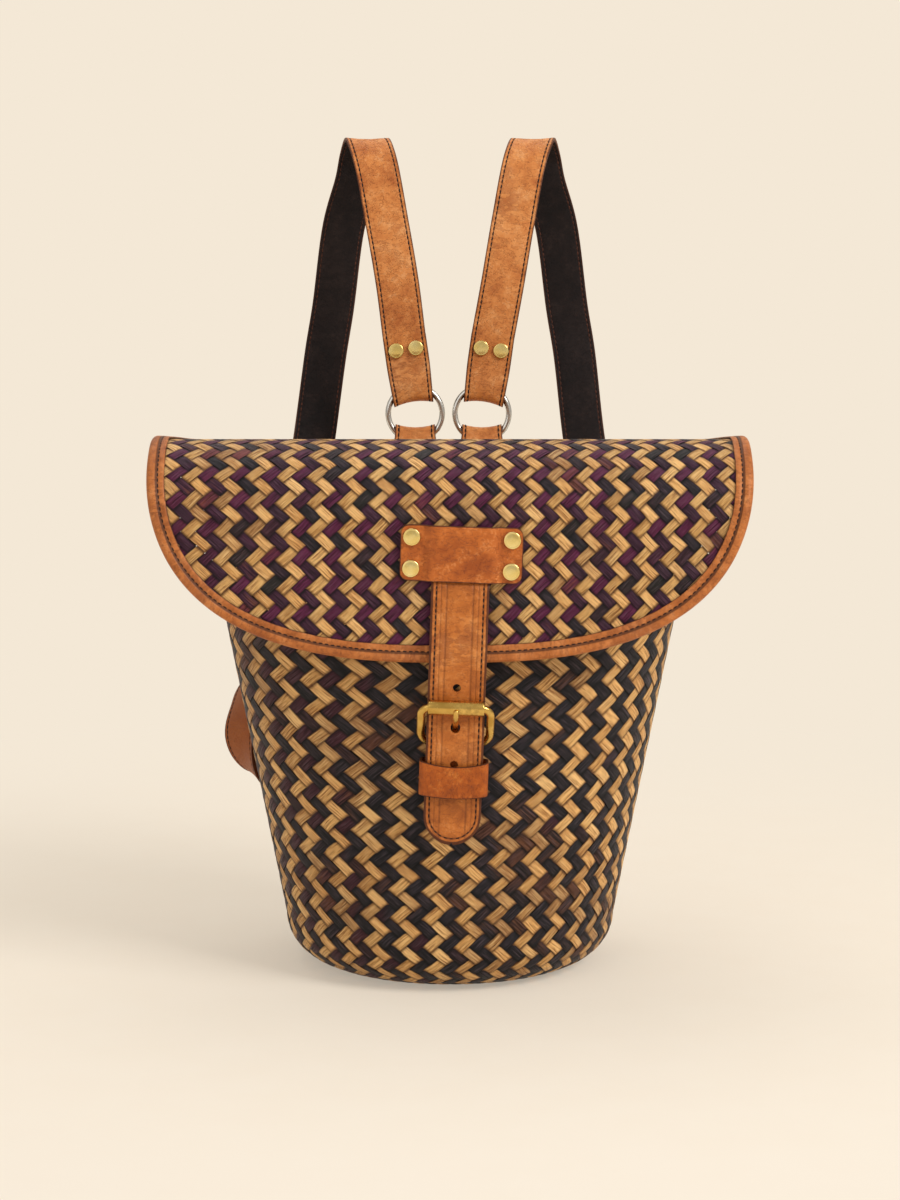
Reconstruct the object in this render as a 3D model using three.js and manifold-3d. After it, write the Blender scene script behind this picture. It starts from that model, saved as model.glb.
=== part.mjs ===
// A round woven backpack: a plaited basket with a flap, leather fittings and two shoulder straps.
// Sizes are in millimetres. +X is to the right seen from the front, +Y points at the wearer,
// +Z is up, and the origin is the middle of the flat base, on the ground.
import * as THREE from 'three';
import { mergeVertices } from 'three/addons/utils/BufferGeometryUtils.js';
import Module from 'manifold-3d';

const wasm = await Module();
wasm.setup();

// Clearance between pieces that touch
const gap = 0.3;

// Basket shell, woven in one piece
const baseRadius = 64;
const cornerHeight = 26;
const cornerRadius = 92;
const widthFlare = 0.197;
const depthFlare = 0.0236;
const shellWall = 3.2;
const rimHeight = 269.2;
const rimTilt = 0.049;
const shellSides = 64;

// Leather binding folded over the basket's rim
const rimLeather = 1.8;
const rimLeg = 14;

// Flap, woven in one piece and bent over the front
const flapHalfWidth = 154;
const flapThickness = 3;
const flapBehindWall = 0.55;
const flapAboveRim = 8;
const flapBeforeWall = 8.37;
const flapBendRadius = 40;
const flapBendBelowRim = 20;
const flapDrop = 71;
const flapTaperAngle = 39.2;
const flapRoundness = 2.65;

// Leather binding folded round the flap's free edges
const edgeLeather = 1.5;
const edgeLeg = 8.5;

// Hinge of the flap: a wide leather strip over the back of the rim and under the flap
const hingeBehindWall = 3.15;
const hingeAboveRim = 5;
const stripBehindHinge = 1;
const stripBend = 2.2;
const stripFlapEase = 0.35;
const hingeStripWidth = 90;
const hingeStripThickness = 1.8;
const hingeStripFall = 51;
const hingeStripReach = 28;
const hingeStripEase = 0.15;
const stripStepOver = 13;
const stripStepEnd = 3;
const stripStraighten = 20;

// Rivets
const capRadius = 4.5;
const capHeight = 1.5;
const postRadius = 1.5;
const burrRadius = 3.6;
const burrHeight = 0.8;
const burrEase = 0.25;
const flatCapRadius = 3.4;
const flatCapHeight = 0.8;
const rivetSides = 12;

// Rings that the shoulder straps hang on, and the tabs that hold them
const ringBehindHinge = 10;
const ringAboveHinge = 16.5;
const ringRadius = 15.8;
const ringWire = 1.7;
const ringLeftX = -20.4;
const ringRightX = 18.7;
const tabLeather = 1.6;
const tabHalfWidth = 13.5;
const tabFall = 47;
const tabRivetFall = 36;
const tabRivetSpacing = 12;
const tabFlatReach = 7;
const tabBends = [22, 15];
const tabBottomSag = 0.55;
const tabTopSag = 0.1;
const tabInnerPath = [[4.1, -3], [5.6, 2]];
const tabOuterPath = [[0, 0.5], [1.9, -7], [5.2, -14]];

// Shoulder straps: tan leather outside, black lining inside
const strapHalfWidth = 12.4;
const foldHalfWidth = 11.6;
const foldClearance = 7.8;
const strapLeather = 1.6;
const strapLining = 0.8;
const strapLean = 8;
const strapTail = 45.5;
const strapRivetHeight = 37.9;
const strapRivetSpacing = 11.6;
const strapEndTop = 80;
const strapEndBottom = 46;
const strapEndRivets = [67.5, 56.5];
const strapLanding = [[84, 3.8], [77, 0.2], [70, 0]];
const strapRingEase = 0.5;
const strapRivetRoom = 17;
const leftEndTurn = 115;
const rightEndTurn = 118;

// Closure: a plate on the flap, its hanging strap, and the buckle strap on the basket
const closureX = 5.9;
const closureBelowBend = 16.2;
const closureTilt = 2;
const plateHalfWidth = 31.4;
const plateHalfHeight = 14.4;
const plateClip = 4.6;
const plateLeather = 2;
const plateRivetX = 25.7;
const plateRivetZ = 8.1;
const plateRise = 1.2;
const plateRiseEnd = 6;
const tongueHalfWidth = 14.1;
const tongueTop = 10;
const tongueTip = -151;
const tongueThin = 2;
const tongueThick = 3.5;
const tongueHoleRadius = 2.1;
const tongueHoles = [-68.8, -109.5];
const prongHole = { z: -89.9, halfWidth: 2.5, halfHeight: 2.9 };
const tongueEase = 0.1;
const tongueOverEdge = 0.6;
const tongueTipStandOff = 1.3;
const boreLength = 30;

// Buckle: a bent wire frame, a roller on its front bar and a prong on its heel bar
const heelBeforeWall = 5.55;
const heelZ = -99.5;
const frameReach = 24.4;
const frameLean = 31.9;
const frameWire = 2.1;
const frameHalfWidth = 17.9;
const frontCorner = 3.2;
const heelCorner = 5.2;
const rollerRadius = 4;
const rollerLength = 29;
const rollerBevel = 0.5;
const rollerEase = 0.09;
const prongEyeRadius = 3.9;
const prongEyeWidth = 3.2;
const prongHalfWidth = 1.5;
const prongHalfHeight = 1;
const prongBow = 1.8;
const prongTipEase = 0.4;

// Buckle strap: folded round the heel bar and riveted to the basket
const backStrapHalfWidth = 12.5;
const backStrapLeather = 1.7;
const backStrapTip = -148.5;
const backStrapRivets = [-134.5, -143];
const backStrapBend = 4;
const backStrapSlot = 2.2;
const backStrapSlotLength = 15;
const backStrapEase = 0.35;
const plyEase = 0.1;
const keeperHalfWidth = 17.9;
const keeperWall = 1.4;
const keeperTop = -107.9;
const keeperHeight = 18;
const keeperBehindHeel = 5.3;
const keeperBeforeHeel = 8.7;
const keeperBend = 3.4;

const radians = THREE.MathUtils.degToRad;
const lerp = THREE.MathUtils.lerp;
const smooth = THREE.MathUtils.smoothstep;
const point = (x, y, z) => new THREE.Vector3(x, y, z);

// Closed skin over rings of as many points each; open ends are closed rung by rung. The two halves
// of a ring are split along the same diagonals, so that the faces of a twisted strip stay parallel.
function skin(rings, loop = false) {
  const count = rings[0].length;
  const positions = rings.flatMap((ring) => ring.flatMap((p) => [p.x, p.y, p.z]));
  const triangles = [];
  const quad = (a, b, c, d) => triangles.push(a, b, c, a, c, d);
  const spans = loop ? rings.length : rings.length - 1;
  for (let i = 0; i < spans; i += 1) {
    const here = i * count;
    const there = ((i + 1) % rings.length) * count;
    for (let k = 0; k < count; k += 1) {
      const next = (k + 1) % count;
      if (k < count / 2) quad(here + k, there + k, there + next, here + next);
      else quad(there + k, there + next, here + next, here + k);
    }
  }
  if (!loop) {
    const end = (rings.length - 1) * count;
    for (let k = 0; k < count / 2 - 1; k += 1) {
      quad(k, k + 1, count - 2 - k, count - 1 - k);
      quad(end + count - 1 - k, end + count - 2 - k, end + k + 1, end + k);
    }
  }
  return outward(positions, triangles);
}

// Turns every face over if the skin would enclose a negative volume
function outward(positions, triangles) {
  const corner = (i) => new THREE.Vector3().fromArray(positions, 3 * i);
  let volume = 0;
  for (let t = 0; t < triangles.length; t += 3) {
    const [a, b, c] = triangles.slice(t, t + 3).map(corner);
    volume += a.dot(b.cross(c));
  }
  if (volume < 0) triangles.reverse();
  const geometry = new THREE.BufferGeometry();
  geometry.setAttribute('position', new THREE.Float32BufferAttribute(positions, 3));
  geometry.setIndex(triangles);
  return geometry;
}

// A flat strip of leather: each station has a place, a direction across and a thickness direction
function ribbon(stations, inner, outer) {
  return skin(stations.map(({ at, across, normal, half }) => {
    const corner = (side, depth) => (
      at.clone().addScaledVector(across, side * half).addScaledVector(normal, depth)
    );
    return [corner(-1, inner), corner(1, inner), corner(1, outer), corner(-1, outer)];
  }));
}

// A strip that curves both ways: rows of points that carry their own normals
function sheet(rows, inner, outer) {
  const face = (row, depth) => row.map(({ at, normal }) => at.clone().addScaledVector(normal, depth));
  return skin(rows.map((row) => [...face(row, inner), ...face(row, outer).reverse()]));
}

function solidOf(geometry) {
  const bare = geometry.clone();
  bare.deleteAttribute('normal');
  bare.deleteAttribute('uv');
  const merged = mergeVertices(bare, 1e-4);
  const mesh = new wasm.Mesh({
    numProp: 3,
    vertProperties: new Float32Array(merged.attributes.position.array),
    triVerts: new Uint32Array(merged.index.array),
  });
  return new wasm.Manifold(mesh);
}

function geometryOf(solid) {
  const mesh = solid.getMesh();
  const geometry = new THREE.BufferGeometry();
  geometry.setAttribute('position', new THREE.Float32BufferAttribute(mesh.vertProperties, 3));
  geometry.setIndex([...mesh.triVerts]);
  return geometry;
}

// A round hole tool of a given length, centred on a point and pointing along a direction
function drillBit({ at, along, radius, length, stretch = 1 }) {
  const bit = new THREE.CylinderGeometry(radius, radius, length, rivetSides);
  bit.scale(1, 1, stretch);
  const turn = new THREE.Quaternion().setFromUnitVectors(point(0, 1, 0), along);
  bit.applyQuaternion(turn);
  bit.translate(at.x, at.y, at.z);
  return solidOf(bit);
}

function drilled(geometry, holes) {
  let solid = solidOf(geometry);
  holes.forEach((hole) => {
    solid = solid.subtract(drillBit(hole));
  });
  return geometryOf(solid);
}

function piece(name, geometry, [color, roughness, metalness]) {
  const flat = geometry.index ? geometry.toNonIndexed() : geometry;
  flat.computeVertexNormals();
  const mesh = new THREE.Mesh(flat, new THREE.MeshStandardMaterial({ color, roughness, metalness }));
  mesh.name = name;
  return mesh;
}

const wovenCane = [0x8a6440, 0.7, 0];
const tanLeather = [0xb8723c, 0.55, 0];
const blackLeather = [0x241c1c, 0.6, 0];
const brightBrass = [0xcfae62, 0.3, 0.95];
const agedBrass = [0x94763f, 0.4, 0.95];
const nickel = [0xc6c4be, 0.25, 0.95];

// Basket shell
const halfWidthAt = (z) => cornerRadius + widthFlare * (z - cornerHeight);
const halfDepthAt = (z) => cornerRadius + depthFlare * (z - cornerHeight);

// A place on the wall: turn 0 is the middle of the front and grows towards -X
function wallPoint(turn, z, out = 0) {
  return point(
    -(halfWidthAt(z) + out) * Math.sin(turn),
    -(halfDepthAt(z) + out) * Math.cos(turn),
    z,
  );
}

// Height of the tilted rim at a turn, where the wall meets the rim's plane
function rimAt(turn) {
  const depthAtGround = cornerRadius - depthFlare * cornerHeight;
  const lean = rimTilt * Math.cos(turn);
  return (rimHeight - lean * depthAtGround) / (1 + lean * depthFlare);
}

// Heights and depths that follow from the rim
const rimBack = rimAt(Math.PI);
const rimFront = rimAt(0);
const flapBackY = halfDepthAt(rimBack) + flapBehindWall;
const flapBackZ = rimBack + flapAboveRim;
const flapFrontY = -halfDepthAt(rimFront) - flapBeforeWall;
const flapBendZ = rimBack - flapBendBelowRim;
const flapBottomZ = flapBendZ - flapDrop;
const hingeY = halfDepthAt(rimBack) + hingeBehindWall;
const hingeZ = rimBack + hingeAboveRim;
const ringPlaneY = hingeY + ringBehindHinge;
const ringCentreZ = hingeZ + ringAboveHinge;
const closureZ = flapBendZ - closureBelowBend;
const heelY = -halfDepthAt(closureZ + heelZ) - heelBeforeWall;

const turns = Array.from({ length: shellSides }, (_, k) => (2 * Math.PI * k) / shellSides);

function basketShell(holes) {
  const cornerSteps = [0, 30, 60, 90].map(radians);
  const foot = (inset) => cornerSteps.map((step) => {
    const radius = baseRadius + (cornerRadius - baseRadius - inset) * Math.sin(step);
    const height = inset + (cornerHeight - inset) * (1 - Math.cos(step));
    return turns.map((turn) => point(-radius * Math.sin(turn), -radius * Math.cos(turn), height));
  });
  const rim = (inset) => turns.map((turn) => wallPoint(turn, rimAt(turn), -inset));
  const shell = skin([...foot(0), rim(0), rim(shellWall), ...foot(shellWall).reverse()]);
  return drilled(shell, holes);
}

const rimOuter = gap + rimLeather;

function rimBinding() {
  const insideFace = -shellWall - gap;
  const section = [
    [rimOuter, -rimLeg],
    [rimOuter, rimOuter],
    [insideFace - rimLeather, rimOuter],
    [insideFace - rimLeather, -rimLeg],
    [insideFace, -rimLeg],
    [insideFace, gap],
    [gap, gap],
    [gap, -rimLeg],
  ];
  const ring = (turn) => section.map(([out, up]) => wallPoint(turn, rimAt(turn) + up, out));
  return skin(turns.map(ring), true);
}

// Flap: its outer face runs straight from the back edge, bends over the front and hangs
const bendY = flapFrontY + flapBendRadius;
const topRise = (() => {
  const run = flapBackY - bendY;
  const drop = flapBackZ - flapBendZ;
  const reach = Math.hypot(run, drop);
  return Math.asin(flapBendRadius / reach) - Math.atan2(drop, run);
})();
const topLength = (flapBackY - bendY - flapBendRadius * Math.sin(topRise)) / Math.cos(topRise);
const bendLength = flapBendRadius * (Math.PI / 2 + topRise);
const taperStart = topLength + flapBendRadius * (radians(flapTaperAngle) + topRise);
const bendEnd = topLength + bendLength;
const taperLength = bendEnd - taperStart + flapBendZ - flapBottomZ;

// A place on the flap's outer face at a distance along it, and how far it stands out from it
function flapPoint(x, along, out) {
  if (along <= topLength) {
    const y = flapBackY - along * Math.cos(topRise) + out * Math.sin(topRise);
    return point(x, y, flapBackZ + along * Math.sin(topRise) + out * Math.cos(topRise));
  }
  if (along <= bendEnd) {
    const angle = (along - topLength) / flapBendRadius - topRise;
    const radius = flapBendRadius + out;
    return point(x, bendY - radius * Math.sin(angle), flapBendZ + radius * Math.cos(angle));
  }
  return point(x, flapFrontY - out, flapBendZ - (along - bendEnd));
}

// Rows down the flap: distance along it, half width, and the edge's outward direction
function flapRows() {
  const straight = [0, topLength];
  const bendSteps = 7;
  for (let k = 1; k <= bendSteps; k += 1) {
    straight.push(lerp(topLength, taperStart, k / bendSteps));
  }
  const rows = straight.map((along) => ({ along, half: flapHalfWidth, side: 1, down: 0 }));
  const power = 2 / flapRoundness;
  const angles = [];
  const roundSteps = 8;
  for (let k = 1; k <= roundSteps; k += 1) {
    const share = ((bendEnd - taperStart) * k) / roundSteps / taperLength;
    angles.push(Math.asin(share ** (1 / power)));
  }
  const firstAngle = angles[angles.length - 1];
  const lastAngle = radians(87);
  const edgeSteps = 10;
  for (let k = 1; k <= edgeSteps; k += 1) {
    angles.push(lerp(firstAngle, lastAngle, k / edgeSteps));
  }
  angles.forEach((angle) => {
    const wide = Math.cos(angle) ** power;
    const deep = Math.sin(angle) ** power;
    const side = wide ** (flapRoundness - 1) / flapHalfWidth;
    const down = deep ** (flapRoundness - 1) / taperLength;
    const size = Math.hypot(side, down);
    rows.push({
      along: taperStart + taperLength * deep,
      half: flapHalfWidth * wide,
      side: side / size,
      down: down / size,
    });
  });
  return rows;
}

function flapPanel(holes) {
  const rings = flapRows().map(({ along, half }) => [
    flapPoint(-half, along, -flapThickness),
    flapPoint(half, along, -flapThickness),
    flapPoint(half, along, 0),
    flapPoint(-half, along, 0),
  ]);
  return drilled(skin(rings), holes);
}

const edgeOuter = gap + edgeLeather;

function flapBinding() {
  const under = -flapThickness - gap;
  const section = [
    [-edgeLeg, edgeOuter],
    [edgeOuter, edgeOuter],
    [edgeOuter, under - edgeLeather],
    [-edgeLeg, under - edgeLeather],
    [-edgeLeg, under],
    [gap, under],
    [gap, gap],
    [-edgeLeg, gap],
  ];
  const rows = flapRows();
  const ring = ({ along, half, side, down }, hand) => section.map(([reach, out]) => (
    flapPoint(hand * (half + side * reach), along + down * reach, out)
  ));
  const left = rows.map((row) => ring(row, -1));
  const right = rows.map((row) => ring(row, 1)).reverse();
  return skin([...left, ...right]);
}

// Hinge strip: up the back wall outside the rim binding, over it and forward under the flap
const stripUnderFlap = flapThickness + gap + stripFlapEase + hingeStripThickness / 2;
const stripFoldY = hingeY + stripBehindHinge;
const lapRoom = flapBackY - stripFoldY + stripBend - (stripUnderFlap + stripBend) * Math.sin(topRise);
const lapStart = flapPoint(0, lapRoom / Math.cos(topRise), -stripUnderFlap);
const stripFoldZ = lapStart.z - stripBend * Math.cos(topRise);

// The strip's middle layer on the back wall: it hugs the wall low down and runs straight at the hinge
function stripY(x, z) {
  const wall = halfDepthAt(z) * Math.sqrt(1 - (x / halfWidthAt(z)) ** 2);
  const rimBottom = rimBack - rimLeg;
  const stepEnd = rimBottom - stripStepEnd;
  const overRim = smooth(z, stepEnd - stripStepOver, stepEnd);
  const out = lerp(gap, rimOuter + gap, overRim) + hingeStripEase + hingeStripThickness / 2;
  return lerp(wall + out, stripFoldY, smooth(z, rimBottom - stripStraighten, stripFoldZ));
}

function hingeStrip(holes) {
  const columns = 7;
  const across = Array.from({ length: columns }, (_, k) => hingeStripWidth * (k / (columns - 1) - 0.5));
  const wallSteps = 9;
  const rows = Array.from({ length: wallSteps }, (_, k) => {
    const z = lerp(hingeZ - hingeStripFall, stripFoldZ, k / wallSteps);
    return across.map((x) => ({ at: point(x, stripY(x, z), z), normal: point(0, 1, 0) }));
  });
  const foldSteps = 5;
  for (let k = 0; k <= foldSteps; k += 1) {
    const angle = lerp(0, Math.PI / 2 - topRise, k / foldSteps);
    const normal = point(0, Math.cos(angle), Math.sin(angle));
    const centre = point(0, stripFoldY - stripBend, stripFoldZ).addScaledVector(normal, stripBend);
    rows.push(across.map((x) => ({ at: centre.clone().setX(x), normal })));
  }
  const flat = point(0, Math.sin(topRise), Math.cos(topRise));
  rows.push(across.map((x) => ({ at: flapPoint(x, hingeStripReach, -stripUnderFlap), normal: flat })));
  return drilled(sheet(rows, -hingeStripThickness / 2, hingeStripThickness / 2), holes);
}

// A rivet lies along local +Y: its cap stands on the outer face and its burr is behind the grip
function rivetGeometry(grip, height = capHeight, radius = capRadius) {
  const back = -grip - gap;
  const profile = [
    [0, back - burrHeight],
    [burrRadius, back - burrHeight],
    [burrRadius, back],
    [postRadius, back],
    [postRadius, gap],
    [radius, gap],
    [radius, gap + height * 0.4],
    [radius * 0.82, gap + height * 0.85],
    [0, gap + height],
  ];
  return new THREE.LatheGeometry(profile.map(([r, y]) => new THREE.Vector2(r, y)), rivetSides);
}

function rivet(name, at, along, grip, height, radius) {
  const mesh = piece(name, rivetGeometry(grip, height, radius), brightBrass);
  mesh.position.copy(at);
  mesh.quaternion.setFromUnitVectors(point(0, 1, 0), along);
  return mesh;
}

// A hole for a rivet's post through everything under its cap
const holeFor = (at, along, depth) => ({
  at: at.clone().addScaledVector(along, 1 - depth / 2),
  along,
  radius: postRadius + gap,
  length: depth + 2,
});

// Ring tabs: a strip of leather up the hinge strip, over the ring's lower wire and down again
const tabFoldInner = ringWire + gap;
const tabFoldZ = ringCentreZ - foldClearance - tabFoldInner;
const tabFoldRadius = tabFoldInner + tabLeather / 2;

const tabBottom = hingeZ - tabFall;
const tabRivetHeight = hingeZ - tabRivetFall;

function tabStations(x) {
  const plySpacing = tabLeather + gap + plyEase;
  const slope = (z) => (stripY(x + 5, z) - stripY(x - 5, z)) / 10;
  const front = (z) => {
    const sag = lerp(tabBottomSag, tabTopSag, smooth(z, tabBottom, hingeZ));
    return stripY(x, z) + hingeStripThickness / 2 + gap + tabLeather / 2 + sag;
  };
  const flatTop = tabRivetHeight + tabFlatReach;
  const bends = tabBends.map((fall) => hingeZ - fall);
  const heights = [tabBottom, flatTop, ...bends];
  const lower = heights.map((z) => ({ y: front(z), z, slope: slope(z <= flatTop ? tabRivetHeight : z) }));
  const inner = [
    ...lower,
    ...tabInnerPath.map(([behind, above]) => ({
      y: hingeY + behind,
      z: hingeZ + above,
      slope: 0,
    })),
  ];
  const arcSteps = 8;
  const arc = Array.from({ length: arcSteps + 1 }, (_, k) => {
    const angle = Math.PI * (1 - k / arcSteps);
    return {
      y: ringPlaneY + tabFoldRadius * Math.cos(angle),
      z: tabFoldZ + tabFoldRadius * Math.sin(angle),
      slope: 0,
    };
  });
  const wireBottom = ringCentreZ - ringRadius - ringWire;
  const outer = [
    ...tabOuterPath.map(([before, above], i) => ({
      y: ringPlaneY + tabFoldRadius - before,
      z: wireBottom + above,
      slope: i < tabOuterPath.length - 1 ? 0 : slope(bends[1]),
    })),
    ...lower.slice(0, 3).reverse().map((s) => ({ ...s, y: s.y + plySpacing })),
  ];
  const path = [...inner, ...arc, ...outer];
  return path.map((station, i) => {
    const before = path[Math.max(i - 1, 0)];
    const after = path[Math.min(i + 1, path.length - 1)];
    const direction = point(0, after.y - before.y, after.z - before.z).normalize();
    const across = point(1, station.slope, 0).normalize();
    const spread = smooth(station.z, hingeZ - 10, tabFoldZ);
    return {
      at: point(x, station.y, station.z),
      across,
      normal: across.clone().cross(direction).normalize(),
      half: lerp(tabHalfWidth, foldHalfWidth, spread),
    };
  });
}

function ringGeometry() {
  const torus = new THREE.TorusGeometry(ringRadius, ringWire, 8, 36);
  torus.rotateX(Math.PI / 2);
  return torus;
}

// Shoulder straps: stations from the tail behind the ring, round its upper wire, over and down
const halfSeam = gap / 2;
const strapFoldInner = ringWire + gap;
const strapInnerFace = halfSeam + strapLining;
const strapFoldRadius = strapFoldInner + strapInnerFace;
const strapFoldHeight = foldClearance + strapFoldInner;
const joinedY = strapInnerFace + gap;

// The left strap's free run, from above its rivets to the wall: x and y as shares of the corner
// radius, the height as a share of the way from the strap's end to the ring, and the angle across
const leftRoute = [
  [-0.3326, 1.2174, 1.349, 0],
  [-0.3957, 1.2717, 1.5058, 0],
  [-0.4772, 1.3587, 1.6831, 0],
  [-0.5326, 1.5, 1.7332, 0],
  [-0.5761, 1.6196, 1.6891, 0],
  [-0.6087, 1.6522, 1.6241, 0],
  [-0.6902, 1.7065, 1.5063, 0],
  [-0.7652, 1.7391, 1.2794, 0],
  [-0.813, 1.7174, 1.1568, 0],
  [-0.8826, 1.6304, 0.9304, 10],
  [-0.9565, 1.5, 0.7193, 35],
  [-1.0543, 1.2174, 0.5104, 70],
  [-1.2174, 0.7826, 0.3248, 103],
  [-1.2717, 0.6087, 0.2552, 119],
  [-1.2946, 0.4728, 0.1671, 131],
  [-1.2228, 0.413, 0.0835, 111],
];

// The right strap's free run, given as its mirror image
const rightRoute = [
  ...leftRoute.slice(0, 9),
  [-0.8717, 1.6304, 0.9304, 5],
  [-0.9457, 1.4565, 0.7193, 15],
  [-1.0217, 1.1957, 0.5104, 30],
  [-1.0761, 0.913, 0.3248, 42],
  [-1.0761, 0.6739, 0.1763, 54],
  [-1.0272, 0.5109, 0.0696, 62],
];

// The direction up a strap at its ring
const strapUp = (hand) => point(hand * Math.sin(radians(strapLean)), 0, Math.cos(radians(strapLean)));

function strapStations(ringX, hand, route, endTurn) {
  const up = strapUp(hand);
  const across = point(up.z, 0, -up.x);
  const centre = point(ringX, ringPlaneY, ringCentreZ);
  const place = (height, depth) => centre.clone().addScaledVector(up, height).setY(ringPlaneY + depth);
  const folded = [
    [strapTail, joinedY, strapHalfWidth],
    [strapFoldHeight + strapRivetRoom, joinedY, strapHalfWidth],
    [ringRadius + strapRingEase, strapFoldRadius, lerp(foldHalfWidth, strapHalfWidth, 0.4)],
  ];
  const arcSteps = 8;
  for (let k = 0; k <= arcSteps; k += 1) {
    const angle = (Math.PI * k) / arcSteps;
    const height = strapFoldHeight - strapFoldRadius * Math.sin(angle);
    folded.push([height, strapFoldRadius * Math.cos(angle), foldHalfWidth]);
  }
  const frontPly = folded.slice(0, 3).reverse().map(([height, depth, half]) => [height, -depth, half]);
  const stations = [...folded, ...frontPly].map(([height, depth, half]) => ({
    at: place(height, depth),
    across: across.clone(),
    half,
  }));

  const wallTurn = radians(endTurn);
  const side = (z) => point(
    -halfWidthAt(z) * Math.cos(wallTurn),
    -hand * halfDepthAt(z) * Math.sin(wallTurn),
    0,
  ).normalize();
  const onWall = (z, lift = 0) => {
    const at = wallPoint(wallTurn, z, gap + strapInnerFace + lift);
    return at.setX(-hand * at.x);
  };
  const first = stations[stations.length - 1];
  const points = [first.at];
  const sides = [first.across];
  route.forEach(([x, y, share, angle]) => {
    const turned = radians(angle);
    const height = lerp(strapEndTop, ringCentreZ, share);
    points.push(point(-hand * x * cornerRadius, y * cornerRadius, height));
    sides.push(point(Math.cos(turned), -hand * Math.sin(turned), 0));
  });
  strapLanding.forEach(([z, lift]) => {
    points.push(onWall(z, lift));
    sides.push(side(z));
  });
  const path = new THREE.CatmullRomCurve3(points);
  const turning = new THREE.CatmullRomCurve3(sides, false, 'catmullrom', 0.5);
  const stepsPerPoint = 2;
  const steps = stepsPerPoint * (points.length - 1);
  for (let k = 1; k <= steps; k += 1) {
    stations.push({
      at: path.getPoint(k / steps),
      across: turning.getPoint(k / steps),
      half: strapHalfWidth,
    });
  }
  const tipSteps = 6;
  const tipStart = strapEndBottom + strapHalfWidth;
  for (let k = 0; k <= tipSteps; k += 1) {
    const angle = (Math.PI / 2) * (k / (tipSteps + 0.4));
    const z = tipStart - strapHalfWidth * Math.sin(angle);
    stations.push({ at: onWall(z), across: side(z), half: strapHalfWidth * Math.cos(angle) });
  }
  return stations.map((station, i) => {
    const before = stations[Math.max(i - 1, 0)].at;
    const after = stations[Math.min(i + 1, stations.length - 1)].at;
    const direction = after.clone().sub(before).normalize();
    const across = station.across.clone();
    across.addScaledVector(direction, -across.dot(direction)).normalize();
    return { ...station, across, normal: across.clone().cross(direction) };
  });
}

// Closure plate and its strap are drawn in the closure's own frame: z is down the strap
const flapFace = flapFrontY - gap;
const tongueBackTop = flapFace - tongueEase;
const plateOverStrap = tongueBackTop - tongueThin - gap;

function closurePlate(holes) {
  const columns = [
    [-plateHalfWidth, plateHalfHeight - plateClip, 0],
    [-plateHalfWidth + plateClip, plateHalfHeight, 0],
    [-tongueHalfWidth - plateRiseEnd, plateHalfHeight, 0],
    [-tongueHalfWidth - plateRise, plateHalfHeight, 1],
    [tongueHalfWidth + plateRise, plateHalfHeight, 1],
    [tongueHalfWidth + plateRiseEnd, plateHalfHeight, 0],
    [plateHalfWidth - plateClip, plateHalfHeight, 0],
    [plateHalfWidth, plateHalfHeight - plateClip, 0],
  ];
  const rings = columns.map(([x, half, raised]) => {
    const back = lerp(flapFace, plateOverStrap, raised);
    return [
      point(x, back, -half),
      point(x, back, half),
      point(x, back - plateLeather, half),
      point(x, back - plateLeather, -half),
    ];
  });
  return drilled(skin(rings), holes);
}

// The roller from the heel bar, and how far the strap stands out where it runs behind the roller
const rollerOut = frameReach * Math.sin(radians(frameLean));
const rollerUp = frameReach * Math.cos(radians(frameLean));
const rollerZ = heelZ + rollerUp;
const behindRoller = rollerOut - rollerRadius - tongueThick - gap - rollerEase;

// The strap's back face down its length, and where it thickens below the plate
const tongueBack = [
  [tongueTop, tongueBackTop, tongueThin],
  [-plateHalfHeight - gap, tongueBackTop, tongueThin],
  [-plateHalfHeight - 2, tongueBackTop, tongueThick],
  [-38, tongueBackTop - 1, tongueThick],
  [-46, flapFrontY - edgeOuter - tongueOverEdge, tongueThick],
  [-56, flapFrontY - edgeOuter - tongueOverEdge, tongueThick],
  [rollerZ + 10.8, heelY - behindRoller - 1.8, tongueThick],
  [rollerZ - 0.2, heelY - behindRoller, tongueThick],
  [heelZ + 7.5, heelY - frameWire - gap - 2.4, tongueThick],
  [heelZ - 2.3, heelY - frameWire - gap - 2.3, tongueThick],
  [-112, heelY - 2.4, tongueThick],
  [-118, heelY - 1.8, tongueThick],
  [tongueTip + tongueHalfWidth, heelY - tongueTipStandOff, tongueThick],
];

function closureStrap() {
  const tip = [];
  const tipSteps = 6;
  for (let k = 1; k <= tipSteps; k += 1) {
    const angle = (Math.PI / 2) * (k / (tipSteps + 0.4));
    const z = tongueTip + tongueHalfWidth * (1 - Math.sin(angle));
    tip.push([z, heelY - tongueTipStandOff, tongueThick, tongueHalfWidth * Math.cos(angle)]);
  }
  const rings = [...tongueBack, ...tip].map(([z, back, thick, half = tongueHalfWidth]) => [
    point(-half, back, z),
    point(half, back, z),
    point(half, back - thick, z),
    point(-half, back - thick, z),
  ]);
  const bore = (z) => ({ at: point(0, heelY, z), along: point(0, 1, 0), length: boreLength });
  const holes = tongueHoles.map((z) => ({ ...bore(z), radius: tongueHoleRadius }));
  const slot = {
    ...bore(prongHole.z),
    radius: prongHole.halfWidth,
    stretch: prongHole.halfHeight / prongHole.halfWidth,
  };
  return drilled(skin(rings), [...holes, slot]);
}

// The middle of the buckle strap's back ply: behind the keeper's front, then back on the wall
const backStrapStep = backStrapLeather + gap + plyEase;
const backStrapRound = backStrapTip + backStrapHalfWidth;
const keeperBottom = keeperTop - keeperHeight;
const keeperBackY = heelY + keeperBehindHeel;
const keeperFrontY = heelY - keeperBeforeHeel;

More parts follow.
